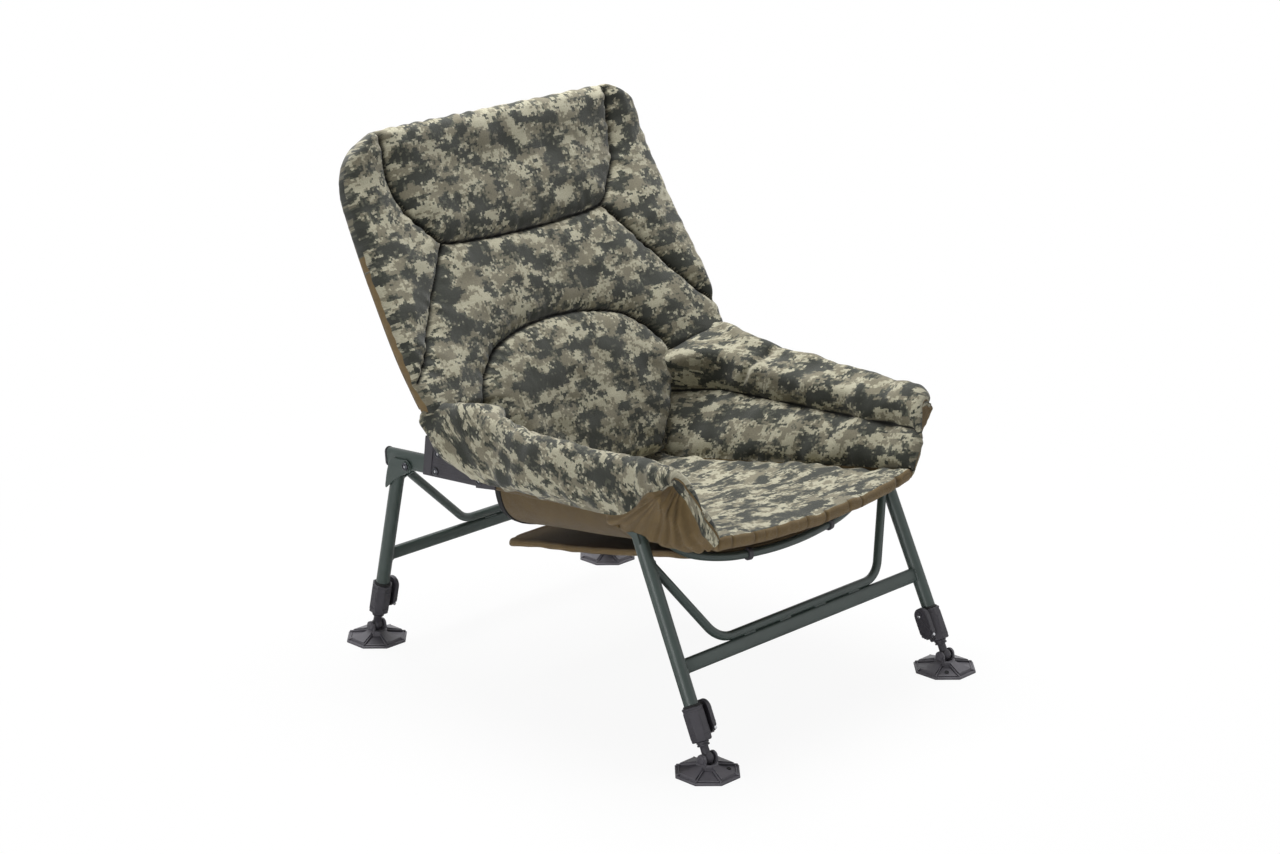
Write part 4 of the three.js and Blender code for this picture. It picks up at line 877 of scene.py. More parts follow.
def bracket_shape():
    """Folded sheet round the leg tube, with two ears that straddle the rail."""
    b = BRACKET
    outer = b["inner"] + b["sheet"]
    spine = -b["reach"] - outer
    angle = np.radians(np.linspace(-42, 108, 15))
    lobe = np.stack([b["lobe"] * np.cos(angle), b["lobe"] * np.sin(angle)], axis=1)
    waist = np.array([(-b["reach"] * 0.55, b["shoulder"] + 3.2), (-b["reach"], b["shoulder"] + 0.4)])
    rear = curve_through([(-b["reach"], b["shoulder"]), (spine * 0.8, -b["shoulder"]), (spine * 0.9, -12),
                          (spine * 0.95, -28), (spine * 0.945, -b["tip"] * 0.9)], 12)
    tip = [(spine * 0.925, -b["tip"] * 0.985), (spine * 0.885, -b["tip"])]
    lower = curve_through([tip[-1], (spine * 0.72, -b["tip"] * 0.83), (spine * 0.4, -b["tip"] * 0.53),
                           tuple(lobe[0])], 10)[1:-1]
    ear = np.vstack([lobe, waist, rear, tip, lower])
    shape = Shape()
    for side in (-1, 1):
        shape.add(side_prism(ear, side * b["inner"], side * outer))
        face = side * outer
        low, high = sorted((face, face + side * 1.3))
        shape.add(turned([(0, low), (8.6, low), (8.6, high - 0.3), (8.0, high), (0, high)], 28),
                  0, turn(1, math.pi / 2))
    wrap = arc_sheet(b["inner"], outer, math.pi, 2 * math.pi, -b["foot"], -b["top"])
    shape.add(wrap, 0, move(0, -b["reach"], 0))
    return shape


class ARMCHAIR_OT_brackets(Operator):
    """Make the four folded brackets that join the legs to the rails"""
    bl_idname = "armchair.brackets"
    bl_label = "Brackets"

    def execute(self, context):
        for legs, name, mirrored in each_leg():
            shape = bracket_shape().moved(move(legs["half"]))
            if mirrored:
                shape.mirrored()
            shape.moved(legs_frame(legs))
            hard_piece(f"{name}_folded_bracket", shape, finishes("paint"), f"{legs['name']}_legs",
                       [f"{name}_bracket"], context.scene.armchair_sizes.edge)
        return {"FINISHED"}


def bolt_head(at, outward):
    """Domed head with a recess and a bright middle, on the x axis."""
    dome = [(0, -0.4), (6.7, -0.4), (6.7, 0.5), (6.5, 1.3), (5.9, 2.2), (4.9, 2.9), (3.6, 3.3), (3.4, 3.1),
            (3.3, 1.6), (0, 1.6)]
    hub = [(0, 1.2), (2.2, 1.2), (2.2, 2.4), (1.6, 2.8), (0, 2.9)]
    ahead = turn(1, outward * math.pi / 2)
    shape = Shape()
    shape.add(turned(dome, 28), 0, move(at) @ ahead)
    shape.add(turned(hub, 18), 1, move(at) @ ahead)
    return shape


class ARMCHAIR_OT_bolts(Operator):
    """Make the bolts at the pivots and the recliner housings"""
    bl_idname = "armchair.bolts"
    bl_label = "Bolts"

    def execute(self, context):
        for side, word in SIDES:
            for name, forward, rise, offset, half, stand in BOLTS:
                shape = Shape()
                for end in (-1, 1):
                    shape.join(bolt_head(offset + end * (half + stand), end))
                shank = resampled(np.array([(offset - half, 0, 0), (offset + half, 0, 0)], float), 3)
                shape.add(tube(shank, circle(4, 16)))
                rail = RAIL["wide"] / 2
                for low, high in ((offset - half + 2.6, -rail), (rail, offset + half - 2.6)):
                    if high - low > 2 and name != "backrest_bolt":
                        bush = resampled(np.array([(low, 0, 0), (high, 0, 0)], float), 3)
                        shape.add(tube(bush, circle(7.4, 20)))
                shape.moved(move(RAIL["half"], -forward, rise))
                if side < 0:
                    shape.mirrored()
                shape.moved(SEAT_FRAME)
                hard_piece(f"{word}_{name}_set", shape, finishes("steel", "bright"), "seat",
                           [f"{word}_{name}"])
        return {"FINISHED"}


def housing_shape():
    """Two moulded wedge plates with a web, a thick band at the rear and fine ribs outside."""
    rear_foot, rear_top, front, bottom, top, slope, notch = 45.3, 58.6, 211, 5, 60, 0.27, 167

    def top_at(forward):
        return top - (forward - rear_top) * slope

    outline = [(-rear_foot, -bottom), (-rear_top, top), (-front, top_at(front)), (-front, -bottom),
               (-notch, -bottom - 3), (-notch, -bottom)]
    outline = outline[::-1]
    shape = Shape()
    for side in (-1, 1):
        face = side * HOUSING_OUTSIDE
        shape.add(side_prism(outline, side * HOUSING["inside"], face))
        band = [(-rear_foot - 0.8, -bottom + 1), (-rear_top - 0.6, top - 1.2), (-rear_top - 19, top - 6.2),
                (-rear_foot - 19, -bottom + 1)]
        shape.add(side_prism(band[::-1], face, face + side * 1.2))
        rim_top = [(-rear_top - 20, top_at(rear_top + 20) - 0.8), (-front + 1, top_at(front) - 0.8),
                   (-front + 1, top_at(front) - 3.4), (-rear_top - 20, top_at(rear_top + 20) - 3.4)]
        shape.add(side_prism(rim_top[::-1], face, face + side * 0.8))
        for k in range(9):
            z = -bottom + 5.5 + k * 5.6
            reach = rear_top + (top - 3.8 - z) / slope
            end = min(front - 2, reach)
            start = rear_foot + 20.5 + (z + bottom) / (top + bottom) * (rear_top - rear_foot)
            if end - start > 12:
                rib = [(-start, z), (-start, z + 1.1), (-end, z + 1.1), (-end, z)]
                shape.add(side_prism(rib, face - side * 0.4, face + side * 0.45))
    web_from = HOUSING["hinge_forward"] + BACK["tube"] + 6
    web_low = RAIL["rise"] + RAIL["tall"] / 2 + 0.3
    web_high = web_low + HOUSING["plate"]
    web_to = rear_top + (top - web_high) / slope
    reach = HOUSING["inside"] + 1
    shape.add(box((-reach, -web_to, web_low), (reach, -web_from, web_high)))
    return shape


class ARMCHAIR_OT_housings(Operator):
    """Make the recliner housings and the caps at the rear of the rails"""
    bl_idname = "armchair.housings"
    bl_label = "Recliner housings"

    def execute(self, context):
        edge = context.scene.armchair_sizes.edge
        for side, word in SIDES:
            shape = housing_shape().moved(SEAT_FRAME @ move(side * RAIL["half"]))
            hard_piece(f"{word}_recliner_plates", shape, finishes("plastic"), "seat",
                       [f"{word}_recliner_housing"], edge)
            outline = flat_oval(RAIL["wide"] + 1.4, RAIL["tall"] + 1.4, 14)
            plug = flat_oval(RAIL["wide"] - 3.6, RAIL["tall"] - 3.6, 10)
            shape = Shape()
            for layer, low, high in ((outline, 0, 3.1), (outline * 0.8, 3, 4), (plug, -14, 0.2)):
                shape.add(prism(layer, low, high))
            place = move(side * RAIL["half"], RAIL["behind"] + 0.3, RAIL["rise"]) @ turn(0, -math.pi / 2)
            shape.moved(SEAT_FRAME @ place)
            hard_piece(f"{word}_rail_plug", shape, finishes("plastic"), "seat", [f"{word}_rail_cap"],
                       edge)
        line = front_bar_line()
        for side, word in SIDES:
            k = int(np.argmin(np.abs(line[:, 0] - side * 90)))
            direction = (line[k + 1] - line[k - 1]) / np.linalg.norm(line[k + 1] - line[k - 1])
            ends = np.array([line[k] - direction * 4, line[k] + direction * 4])
            shape = Shape().add(tube(resampled(ends, 4), circle(BAR + 3.5, 26), round_end=1.1))
            shape.moved(SEAT_FRAME)
            hard_piece(f"{word}_bar_ring", shape, finishes("plastic"), "seat", [f"{word}_bar_clip"])
        return {"FINISHED"}


def eight_sided(across, profile):
    """An eight-sided solid with flat faces square to x, from (share of size, height) pairs."""
    corner = across / 2 / math.cos(math.pi / 8)
    return turned([(share * corner, height) for share, height in profile], 8, math.pi / 8)


def clamp_shape():
    """Octagonal sleeve with a lip, a dark ring round the tube, a lug and a toothed slot."""
    long, half = CLAMP["long"], CLAMP["across"] / 2
    shape = Shape()
    shape.add(eight_sided(CLAMP["across"], [(0, 0), (0.9, 0), (0.97, 1.2), (0.97, 5), (1, 6), (1, long - 7),
                                            (0.96, long - 6.4), (0.96, long - 3), (1, long - 2.6),
                                            (1, long - 0.6), (0.95, long), (0, long)]))
    ring = [(0, -1), (13.2, -1), (13.2, 1.6), (12.2, 2.8), (TUBE, 2.8), (TUBE, 4), (0, 4)]
    shape.add(turned([(radius, long + z) for radius, z in ring], 32), 1)
    pin = CLAMP["pin"]
    shape.add(box((-half - 9.5, -4.5, pin - 6.5), (0, 4.5, pin + 6.5)))
    for y in (-5.5, 3.8):
        shape.add(box((-half - 0.9, y, pin + 9), (-half + 1, y + 1.7, long - 9)))
    for k in range(6):
        z = pin + 11 + k * 3.1
        shape.add(box((-half - 0.7, -3.9, z), (-half + 1, 3.9, z + 1.4)), 1)
    for face in (2, 4, 6):
        rib = box((half - 0.6, -5, 9), (half + 0.7, 5, 10.6))
        panel = box((half - 0.6, -4.6, 15), (half + 0.5, 4.6, long - 12))
        spin = turn(2, math.pi + face * math.pi / 4)
        shape.add(rib, 0, spin).add(panel, 0, spin)
    return shape


def lever_shape():
    """Shield-shaped cam lever with a raised border, a slanting rib and a bright pin."""
    half, thick = LEVER["wide"] / 2, LEVER["thick"]
    low = CLAMP["pin"] - LEVER["tail"]
    high = low + LEVER["long"]
    x = -(CLAMP["across"] / 2 + LEVER["stand_off"] + thick / 2)
    angle = np.linspace(math.pi, 0, 13)
    crown = np.stack([half * np.cos(angle), high - half + half * np.sin(angle)], axis=1)
    foot = np.array([(half, low + 9), (half * 0.55, low), (-half * 0.55, low), (-half, low + 9)])
    outline = np.vstack([crown, foot])
    shape = Shape()
    shape.add(side_prism(outline, x - thick / 2 + 1, x + thick / 2))
    middle = outline.mean(axis=0)
    closed = np.vstack([outline, outline[:1]])
    line = resampled(middle + (closed - middle) * 0.9, 60)[:-1]
    shape.add(bead(np.c_[np.full(len(line), x - thick / 2 + 1.1), line], 1.05, 1, 8))
    face = x - thick / 2
    ridge = np.array([(face + 0.9, -half * 0.62, low + 10), (face + 0.9, half * 0.6, high - 12)])
    shape.add(tube(resampled(ridge, 8), flat_oval(1.6, 4.2, 6), (0, 1, 0.4)))
    shape.add(side_prism(middle + (outline - middle) * 0.35 + (2.4, 4), face + 0.2, face + 2))
    end = half - 0.6
    pin = turned([(0, -end), (2.6, -end), (2.6, end), (0, end)], 18)
    shape.add(pin, 1, move(x, 0, CLAMP["pin"]) @ turn(0, math.pi / 2))
    rivet = turned([(0, 0), (2.9, 0), (2.7, 0.8), (1.8, 1.5), (0, 1.8)], 20)
    shape.add(rivet, 1, move(face + 1, 3.4, high - 13) @ turn(1, -math.pi / 2))
    return shape


def stem_shape():
    """Sliding rod with a stepped collar, a neck and a ball."""
    s = STEM
    top = -0.3
    neck = top - s["collar_long"]
    ball = neck - s["neck_long"] - s["ball"]
    rod, collar, thin = s["rod"], s["collar"], s["neck"]
    profile = [(0, 100), (rod, 100), (rod, top), (collar - 0.6, top), (collar, top - 0.7),
               (collar, top - 2.6), (collar - 1, top - 3.1), (collar - 1, top - 4.2), (collar, top - 4.7),
               (collar, neck + 0.6), (collar - 0.6, neck), (thin + 0.6, neck), (thin, neck - 1)]
    profile += [(s["ball"] * math.cos(a), ball + s["ball"] * math.sin(a))
                for a in np.radians(np.linspace(46, -86, 14))]
    profile.append((0, ball - s["ball"]))
    shape = Shape().add(turned(profile[::-1], 28))
    pin = turned([(0, -13.6), (3, -13.6), (3, 13.6), (0, 13.6)], 18)
    shape.add(pin, 0, move(0, 0, ball) @ turn(1, math.pi / 2))
    return shape


def foot_shape():
    """Eight-sided mud foot: four raised and four sunken facets, ribs, a socket and two ears."""
    f = FOOT
    half = f["across"] / 2
    corner = half / math.cos(math.pi / 8)
    hub = f["hub"] / math.cos(math.pi / 8)
    shape = Shape()
    rim = f["rim"]
    plate = [(0, 0), (corner - 1, 0), (corner, 0.8), (corner, rim - 0.8), (corner - 1.2, rim),
             (corner - 3.4, rim), (corner - 3.8, rim - 0.5), (hub, f["sunken"] - 1), (0, f["sunken"] - 1)]
    shape.add(turned(plate, 8, math.pi / 8))
    turn_half = math.tan(math.pi / 8)
    for k in range(4):
        inner, outer = f["hub"] - 1, half - 5
        top_in, top_out = f["raised"] - 0.4, f["rim"] + 4.2
        low = f["rim"] - 1
        wide_in, wide_out = inner * turn_half - 0.4, outer * turn_half - 1.4
        points = [(inner, -wide_in, low), (outer, -wide_out, low), (outer, wide_out, low),
                  (inner, wide_in, low), (inner, -wide_in, top_in), (outer - 1.4, -wide_out + 1.6, top_out),
                  (outer - 1.4, wide_out - 1.6, top_out), (inner, wide_in, top_in)]
        faces = [(3, 2, 1, 0), (4, 5, 6, 7), (0, 1, 5, 4), (1, 2, 6, 5), (2, 3, 7, 6), (3, 0, 4, 7)]
        shape.add((np.array(points), faces), 0, turn(2, k * math.pi / 2))
    for k in range(8):
        rib = np.array([(hub - 1, 0, f["sunken"] + 1.2), (corner - 2.2, 0, f["rim"] + 0.4)])
        shape.add(tube(resampled(rib, 4), flat_oval(2.4, 3.8, 6)), 0, turn(2, math.pi / 8 + k * math.pi / 4))
    for k in (1, 3, 5, 7):
        middle = turn(2, k * math.pi / 4)
        end = (half - 8) * turn_half
        hem = np.array([(half - 5.6, -end, rim + 0.7), (half - 5.6, end, rim + 0.7)])
        shape.add(tube(resampled(hem, 3), flat_oval(1.8, 2.2, 5)), 0, middle)
    hub_top = f["raised"] + 0.6
    shape.add(turned([(0, f["rim"]), (hub + 1.6, f["rim"]), (hub + 0.8, f["raised"] - 1), (hub - 1, hub_top),
                      (12.4, hub_top), (11.4, hub_top - 2.4), (0, hub_top - 5)], 8, math.pi / 8))
    for side in (-1, 1):
        angle = np.linspace(0, math.pi, 13)
        lobe = np.stack([f["ear"] * np.cos(angle), f["ball"] + f["ear"] * np.sin(angle)], axis=1)
        outline = np.vstack([[(-f["ear"] * 1.25, f["rim"]), (f["ear"] * 1.25, f["rim"])], lobe])
        face = side * (f["ear_gap"] + f["ear_thick"])
        shape.add(side_prism(outline, side * f["ear_gap"], face))
        cap = turned([(0, 0), (6.2, 0), (6.2, 0.9), (5.4, 1.3), (3.6, 1.3), (3.4, 0.7), (0, 0.7)], 24)
        shape.add(cap, 0, move(face, 0, f["ball"]) @ turn(1, side * math.pi / 2))
    # Painted shade: the drain hole is a black disc rather than a hole.
    drain = turned([(0, 0), (3.6, 0), (3.6, 0.9), (2.9, 1.1), (2.6, 0.2), (0, 0.2)], 18)
    slope = math.atan2(f["sunken"] - f["rim"], half - f["hub"])
    at = turn(2, -3 * math.pi / 4) @ move(half * 0.66, 0, f["rim"] + 2.6) @ turn(1, slope)
    shape.add(drain, 1, at)
    return shape


class ARMCHAIR_OT_leg_ends(Operator):
    """Make the clamps, cam levers, sliding stems and mud feet of the four legs"""
    bl_idname = "armchair.leg_ends"
    bl_label = "Leg ends"

    def execute(self, context):
        edge = context.scene.armchair_sizes.edge
        for legs, name, mirrored in each_leg():
            body = f"{legs['name']}_legs"
            lift = move(0, 0, -clamp_foot(legs))
            made = on_leg(clamp_shape().moved(lift), legs, mirrored)
            hard_piece(f"{name}_sleeve_clamp", made, finishes("plastic", "binding"), body,
                       [f"{name}_clamp"], edge)
            made = on_leg(lever_shape().moved(lift), legs, mirrored)
            hard_piece(f"{name}_cam_lever", made, finishes("plastic", "bright"), f"{name}_cam",
                       [f"{name}_lever"], edge)
            made = on_leg(stem_shape().moved(lift), legs, mirrored)
            hard_piece(f"{name}_sliding_stem", made, finishes("plastic"), f"{name}_extension",
                       [f"{name}_stem"])
            lean = math.radians(legs["lean"])
            centre = placed(leg_axis(legs), [(0, 0, -ball_depth(legs))])[0]
            made = foot_shape().moved(move(*centre) @ turn(0, lean) @ move(0, 0, -FOOT["ball"]))
            if mirrored:
                made.mirrored()
            made.moved(legs_frame(legs))
            hard_piece(f"{name}_mud_foot", made, finishes("rubber", "binding"), f"{name}_pad",
                       [f"{name}_foot"], edge * 0.8)
        return {"FINISHED"}


# The back cushion, in the backrest's frame: x across, y backwards, z up along the back.
BACK_WIDTHS = [(0, 0.46), (0.1, 0.58), (0.17, 0.67), (0.215, 0.78), (0.25, 0.93), (0.28, 0.975),
               (0.335, 0.99), (0.42, 1), (0.6, 0.985), (0.78, 0.965), (0.87, 0.955), (0.93, 0.93),
               (0.97, 0.86), (1, 0.74)]
HEAD_SEAM = [(247, 518), (245, 463), (243, 421), (230, 378), (203, 341), (176, 314), (101, 306), (0, 303)]
WING_SEAM = [(176, 314), (210, 268), (240, 228), (270, 186), (297, 146), (328, 110)]
LUMBAR_SEAM = [(135, -92), (182, -25), (206, 48), (194, 82), (169, 110), (135, 134), (68, 152), (0, 158)]


def back_width(z):
    return BACK["half"] * along_pairs(BACK_WIDTHS, (z - BACK["bottom"]) / (BACK["top"] - BACK["bottom"]))


def back_rear(x, z):
    """Where the rear of the cushion lies behind the padding."""
    cupping = BACK["cup"] * (x / BACK["half"]) ** 2 * ease(1 - z / BACK["cup_top"])
    curl = BACK["curl"] * ease((z - BACK["curl_from"]) / (BACK["top"] - BACK["curl_from"]))
    return -BACK["behind"] - cupping - curl


def graded(count, reach_share, rim_steps=9):
    """Stations from 0 to 1 that stand close together at both ends."""
    rim = reach_share * (1 - np.cos(np.linspace(0, math.pi / 2, rim_steps)))
    middle = np.linspace(reach_share, 1 - reach_share, count)[1:-1]
    return np.r_[rim, middle, 1 - rim[::-1]]


def seam_distances(places, seams):
    """Distance from each place to the nearest sewn line, and the run along that line."""
    marks, runs = [], []
    for number, seam in enumerate(seams):
        fine = curve_through(seam, 260)
        marks.append(fine)
        runs.append(lengths(fine) + 1000 * number)
    marks, runs = np.vstack(marks), np.concatenate(runs)
    tree = KDTree(len(marks))
    for k, mark in enumerate(marks):
        tree.insert((*mark, 0), k)
    tree.balance()
    found = [tree.find((x, z, 0)) for x, z in places.reshape(-1, 2)]
    distance = np.array([f[2] for f in found]).reshape(places.shape[:-1])
    run = np.array([runs[f[1]] for f in found]).reshape(places.shape[:-1])
    return distance, run


def back_grid():
    sizes = bpy.context.scene.armchair_sizes
    crown, pucker = sizes.crown * 1000, sizes.pucker * 1000
    tall = BACK["top"] - BACK["bottom"]
    u = graded(212, BACK["seam"] / 2 / (2 * BACK["half"]))
    v = graded(196, BACK["seam"] / 2 / tall)
    z = np.broadcast_to(BACK["bottom"] + v * tall, (len(u), len(v)))
    x = (2 * u[:, None] - 1) * back_width(z)
    edge = np.minimum((1 - np.abs(2 * u[:, None] - 1)) * BACK["half"], np.minimum(v, 1 - v) * tall)
    mirrored = np.stack([np.abs(x), z], axis=-1)
    seam, run = seam_distances(mirrored, [HEAD_SEAM, WING_SEAM, LUMBAR_SEAM])
    run = run + np.where(x > 0, 5000, 0)

    head = np.vstack([curve_through(HEAD_SEAM, 60), [(0, 600), (247, 600)]])
    wing = np.vstack([curve_through(HEAD_SEAM[:6], 40), curve_through(WING_SEAM, 30),
                      [(400, 110), (400, 600), (247, 600)]])
    lumbar = np.vstack([curve_through(LUMBAR_SEAM, 60), [(0, -200), (135, -200)]])
    in_head, in_wing, in_lumbar = (inside(mirrored, outline) for outline in (head, wing, lumbar))

    flat = np.stack([x, z], axis=-1)
    reach = np.minimum(edge, seam)
    rounding = (1 - rim_round(2 * edge / BACK["seam"])) * BACK["seam"] / 2
    plump = 0.5 * (1 - np.exp(-seam / 7)) + 0.5 * (1 - np.exp(-reach / 36))
    rise = crown * plump - 5 * np.exp(-((seam / 3.6) ** 2))
    rise += np.where(in_head, 8 * (1 - np.exp(-reach / 36)), 0)
    rise += np.where(in_lumbar, 5 * (1 - np.exp(-reach / 60)), 0)
    rise += np.where(in_wing, 3 * (1 - np.exp(-reach / 30)), 0)
    tucked = ease((64 - z) / 40) * (~in_lumbar) * ease(seam / 9)
    rise *= 1 - 0.95 * tucked
    # Drag lines run square to the seams, and the filling is uneven.
    gathers = waves(run[..., None], 21, 11) * np.exp(-seam / 15) * (1 - np.exp(-seam / 2.5))
    folds = waves(np.stack([run, seam * 0.35], axis=-1), 38, 12) * np.exp(-seam / 38)
    hem_run = np.where((1 - v)[None, :] * tall < edge + 1, x, z)
    hem = waves(np.stack([hem_run, edge * 0.3], axis=-1), 24, 13) * np.exp(-edge / 19)
    lumps = waves(flat, 95, 14) * 1.5 + waves(flat, 46, 15) * 0.75
    rise += pucker * (1.1 * gathers + 0.7 * folds + 0.8 * hem) + lumps * (1 - np.exp(-reach / 22))
    body = back_rear(x, z) - 1
    thick = (BACK["seam"] - rounding + rise) * (1 - 0.5 * tucked)
    rim_wave = waves(hem_run[..., None], 27, 16)
    sway = 1.4 * rim_wave * np.exp(-edge / 7)
    out = 0.7 * waves(hem_run[..., None], 31, 17) * np.exp(-edge / 9)
    x_out = x + np.sign(x) * out * np.where(hem_run == x, 0, 1)
    z_out = z + out * np.where((hem_run == x) & (z > 0), 1, 0)
    front = np.stack([x_out, body - thick + sway, z_out], axis=-1)
    rear = np.stack([x_out, body - rounding + sway, z_out], axis=-1)
    panel = in_head * 1 + in_wing * np.where(x > 0, 2, 3) + in_lumbar * 4
    # Painted shade: full along the seams, half where the bottom is tucked under.
    crease = np.maximum(np.clip(1 - seam / 4.4, 0, 1) * ease(edge / 6), 0.5 * tucked)
    wrapped = (edge < 13) & (z > 315 + 14 * rim_wave)
    return front, rear, flat, panel, crease, wrapped


def panel_shift(panel):
    """A different part of the cloth for each sewn panel, as (across, up) shifts."""
    rng = np.random.default_rng(8)
    shifts = rng.uniform(-900, 900, size=(6, 2))
    return shifts[panel]


def flatten_on_hoop(piece):
    """Give the piece a mesh of its own."""
    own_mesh(piece)


class ARMCHAIR_OT_back_cushion(Operator):
    """Make the sewn back cushion with its head pillow, wings and lumbar panel"""
    bl_idname = "armchair.back_cushion"
    bl_label = "Back cushion"

    def execute(self, context):
        front, rear, flat, panel, crease, wrapped = back_grid()

        # The rear layer takes the hem finish, the canvas painted lighter; the wrapped rim keeps the print.
        def finish_of(layer):
            return np.where(wrapped[:-1, :-1] & wrapped[1:, 1:], 0, layer)

        points, faces, uv, finish = cloth_grid(front, rear, flat, flat, finish_of)
        shift = panel_shift(panel[:-1, :-1]).reshape(-1, 1, 2)
        uv[: len(shift)] += shift
        piece = soft_piece("back_pad", placed(BACK_FRAME, points), faces, uv, finish,
                           finishes("camo", "hem"), "backrest",
                           ["back_cushion", "right_back_wing", "left_back_wing"], crease)
        outwards(piece.data)
        flatten_on_hoop(piece)
        return {"FINISHED"}


class ARMCHAIR_OT_back_cover(Operator):
    """Make the canvas behind the back cushion"""
    bl_idname = "armchair.back_cover"
    bl_label = "Back cover"

    def execute(self, context):
        low, high = BACK["bottom"] + 176, BACK["top"] - 11
        u, v = np.linspace(0, 1, 120), np.linspace(0, 1, 110)
        z = np.broadcast_to(low + v * (high - low), (len(u), len(v)))
        half = back_width(z) - 9
        x = (2 * u[:, None] - 1) * half
        edge = np.minimum((1 - np.abs(2 * u[:, None] - 1)) * half, np.minimum(v, 1 - v) * (high - low))
        flat = np.stack([x, z], axis=-1)
        slack = 1 - np.exp(-edge / 60)
        wrinkle = 0.35 * waves(flat * (1, 0.35), 60, 21) + 0.2 * waves(flat, 30, 22)
        y = back_rear(x, z) + 0.9 + np.clip(wrinkle, -0.6, 0.6) * slack
        front = np.stack([x, y - 0.6 * (edge > 0), z], axis=-1)
        rear = np.stack([x, y + 0.7 * (edge > 0), z], axis=-1)

        # Painted light: the rim within 9 mm takes the hem finish, the canvas painted lighter.
        def finish_of(layer):
            return (edge[:-1, :-1] < 9) * 1

        points, faces, uv, finish = cloth_grid(front, rear, flat, flat, finish_of)
        piece = soft_piece("back_canvas", placed(BACK_FRAME, points), faces, uv, finish,
                           finishes("canvas", "hem"), "backrest", ["backrest_cover"])
        outwards(piece.data)
        flatten_on_hoop(piece)
        return {"FINISHED"}


# The soft seat, in the chair's own frame.
def seat_share(y):
    return (y - SEAT["front"]) / (SEAT["rear"] - SEAT["front"])


def seat_half(y):
    return between(SEAT["front_half"], SEAT["rear_half"], seat_share(y))


def seat_top(x, y):
    middle = between(SEAT["front_z"], SEAT["rear_z"], seat_share(y))
    return middle + SEAT["edge_rise"] * (x / seat_half(y)) ** 2


class ARMCHAIR_OT_seat_cushion(Operator):
    """Make the seat pad with its gathered brown front hem"""
    bl_idname = "armchair.seat_cushion"
    bl_label = "Seat cushion"

    def execute(self, context):
        deep = SEAT["rear"] - SEAT["front"]
        u, v = graded(190, 0.03, 8), graded(120, 0.02, 12)
        across = (2 * u - 1)[:, None] * np.ones(len(v))
        y = between(SEAT["rear"] + SEAT["tuck"], SEAT["front"] + SEAT["bow"], v)[None, :] - SEAT["bow"] * (
            1 - across**2) * ease(v)[None, :]
        curl = ease((y - 112) / (SEAT["rear"] + SEAT["tuck"] - 112))
        x = across * (seat_half(y) + 6 * curl)
        inset = np.minimum((1 - np.abs(across)) * SEAT["front_half"], np.minimum(v, 1 - v)[None, :] * deep)
        fade = np.exp(-inset / 18)
        front = (1 - v)[None, :] * deep * np.ones_like(x)
        half = between(SEAT["thick"], between(SEAT["rim"], SEAT["hem"], np.exp(-front / 12)), fade) / 2
        rounding = rim_round(inset / 7)
        flat = np.stack([x, y], axis=-1)
        pucker = context.scene.armchair_sizes.pucker * 1000
        gathers = 0.45 * waves(np.stack([x, front * 0.25], axis=-1), 44, 31) * np.exp(-front / 36)
        side = (1 - np.abs(across)) * SEAT["front_half"]
        pulls = waves(np.stack([y + np.sign(x) * 400, side * 0.3], axis=-1), 40, 32) * np.exp(-side / 30)
        lumps = 1.8 * waves(flat, 130, 33) + 0.8 * waves(flat, 60, 34)
        # The brown hem is drawn in by its stitches into small pleats.
        pleats = np.abs(np.sin(math.pi * (x + 9 * waves(x[..., None], 90, 35)) / 31))
        pinched = (1 - np.clip(pleats / 0.26, 0, 1)) * np.exp(-((front - 1) / 9) ** 2) * ease(
            0.65 + waves(x[..., None], 60, 36))
        middle = seat_top(x, y) - SEAT["thick"] / 2 + 0.5 * pucker * gathers * np.exp(-front / 25)
        middle += 0.5 * lumps + 17 * curl
        drawn = y + 0.4 * gathers + 4.5 * pinched
        top = np.stack([x, drawn, middle + half * rounding + pucker * (gathers + pulls)
                        * rounding + 0.5 * lumps * rounding], axis=-1)
        bottom = np.stack([x, drawn, middle - half * rounding], axis=-1)

        # Painted light: the front strip and the underside take the hem finish, the canvas painted lighter.
        def finish_of(layer):
            return np.full((len(u) - 1, len(v) - 1), 1) if layer else (front[:-1, 1:] < 4) * 1

        points, faces, uv, finish = cloth_grid(top, bottom, flat, flat, finish_of)
        # Painted shade: pinched also goes into the crease attribute, darkening the pleats.
        piece = soft_piece("seat_pad", placed(SOFT_FRAME, points), faces, uv, finish,
                           finishes("camo", "hem"), "seat", ["seat_cushion"],
                           np.concatenate([pinched.ravel(), pinched[1:-1, 1:-1].ravel()]))
        outwards(piece.data)
        return {"FINISHED"}


# The sling between the rails and the front bar, in the chair's own frame.
SLING_RISES = [(0, 0), (0.39, 0.01), (0.66, 0.08), (0.8, 0.18), (0.86, 0.26), (0.912, 0.37), (0.95, 0.5),
               (0.98, 0.7), (1, 1)]


def rail_z(y):
    _, pivot_y, pivot_z = PIVOT_PLACE
    return pivot_z + (pivot_y - y) * math.tan(SLOPE) + RAIL["rise"] / math.cos(SLOPE)


def sling_front(x):
    climbing = ease((np.abs(x) / SLING["half"] - 0.84) / 0.16 * 2)
    return bar_at(x)[..., 1] + climbing * (BAR + SLING["sheet"] + 1)


def sling_surface(x, y):
    low = between(SEAT["front_z"], SEAT["rear_z"], seat_share(y)) - SEAT["thick"] - 1
    top = between(low, rail_z(y), along_pairs(SLING_RISES, np.minimum(np.abs(x) / SLING["half"], 1)))
    front = sling_front(x)
    share = np.minimum((y - SLING["rear"]) / (front - SLING["rear"]), 1)
    on_bar = bar_at(x)[..., 2] + BAR + SLING["sheet"] + 1
    return between(top, on_bar, ease((share - 0.84) / 0.16))


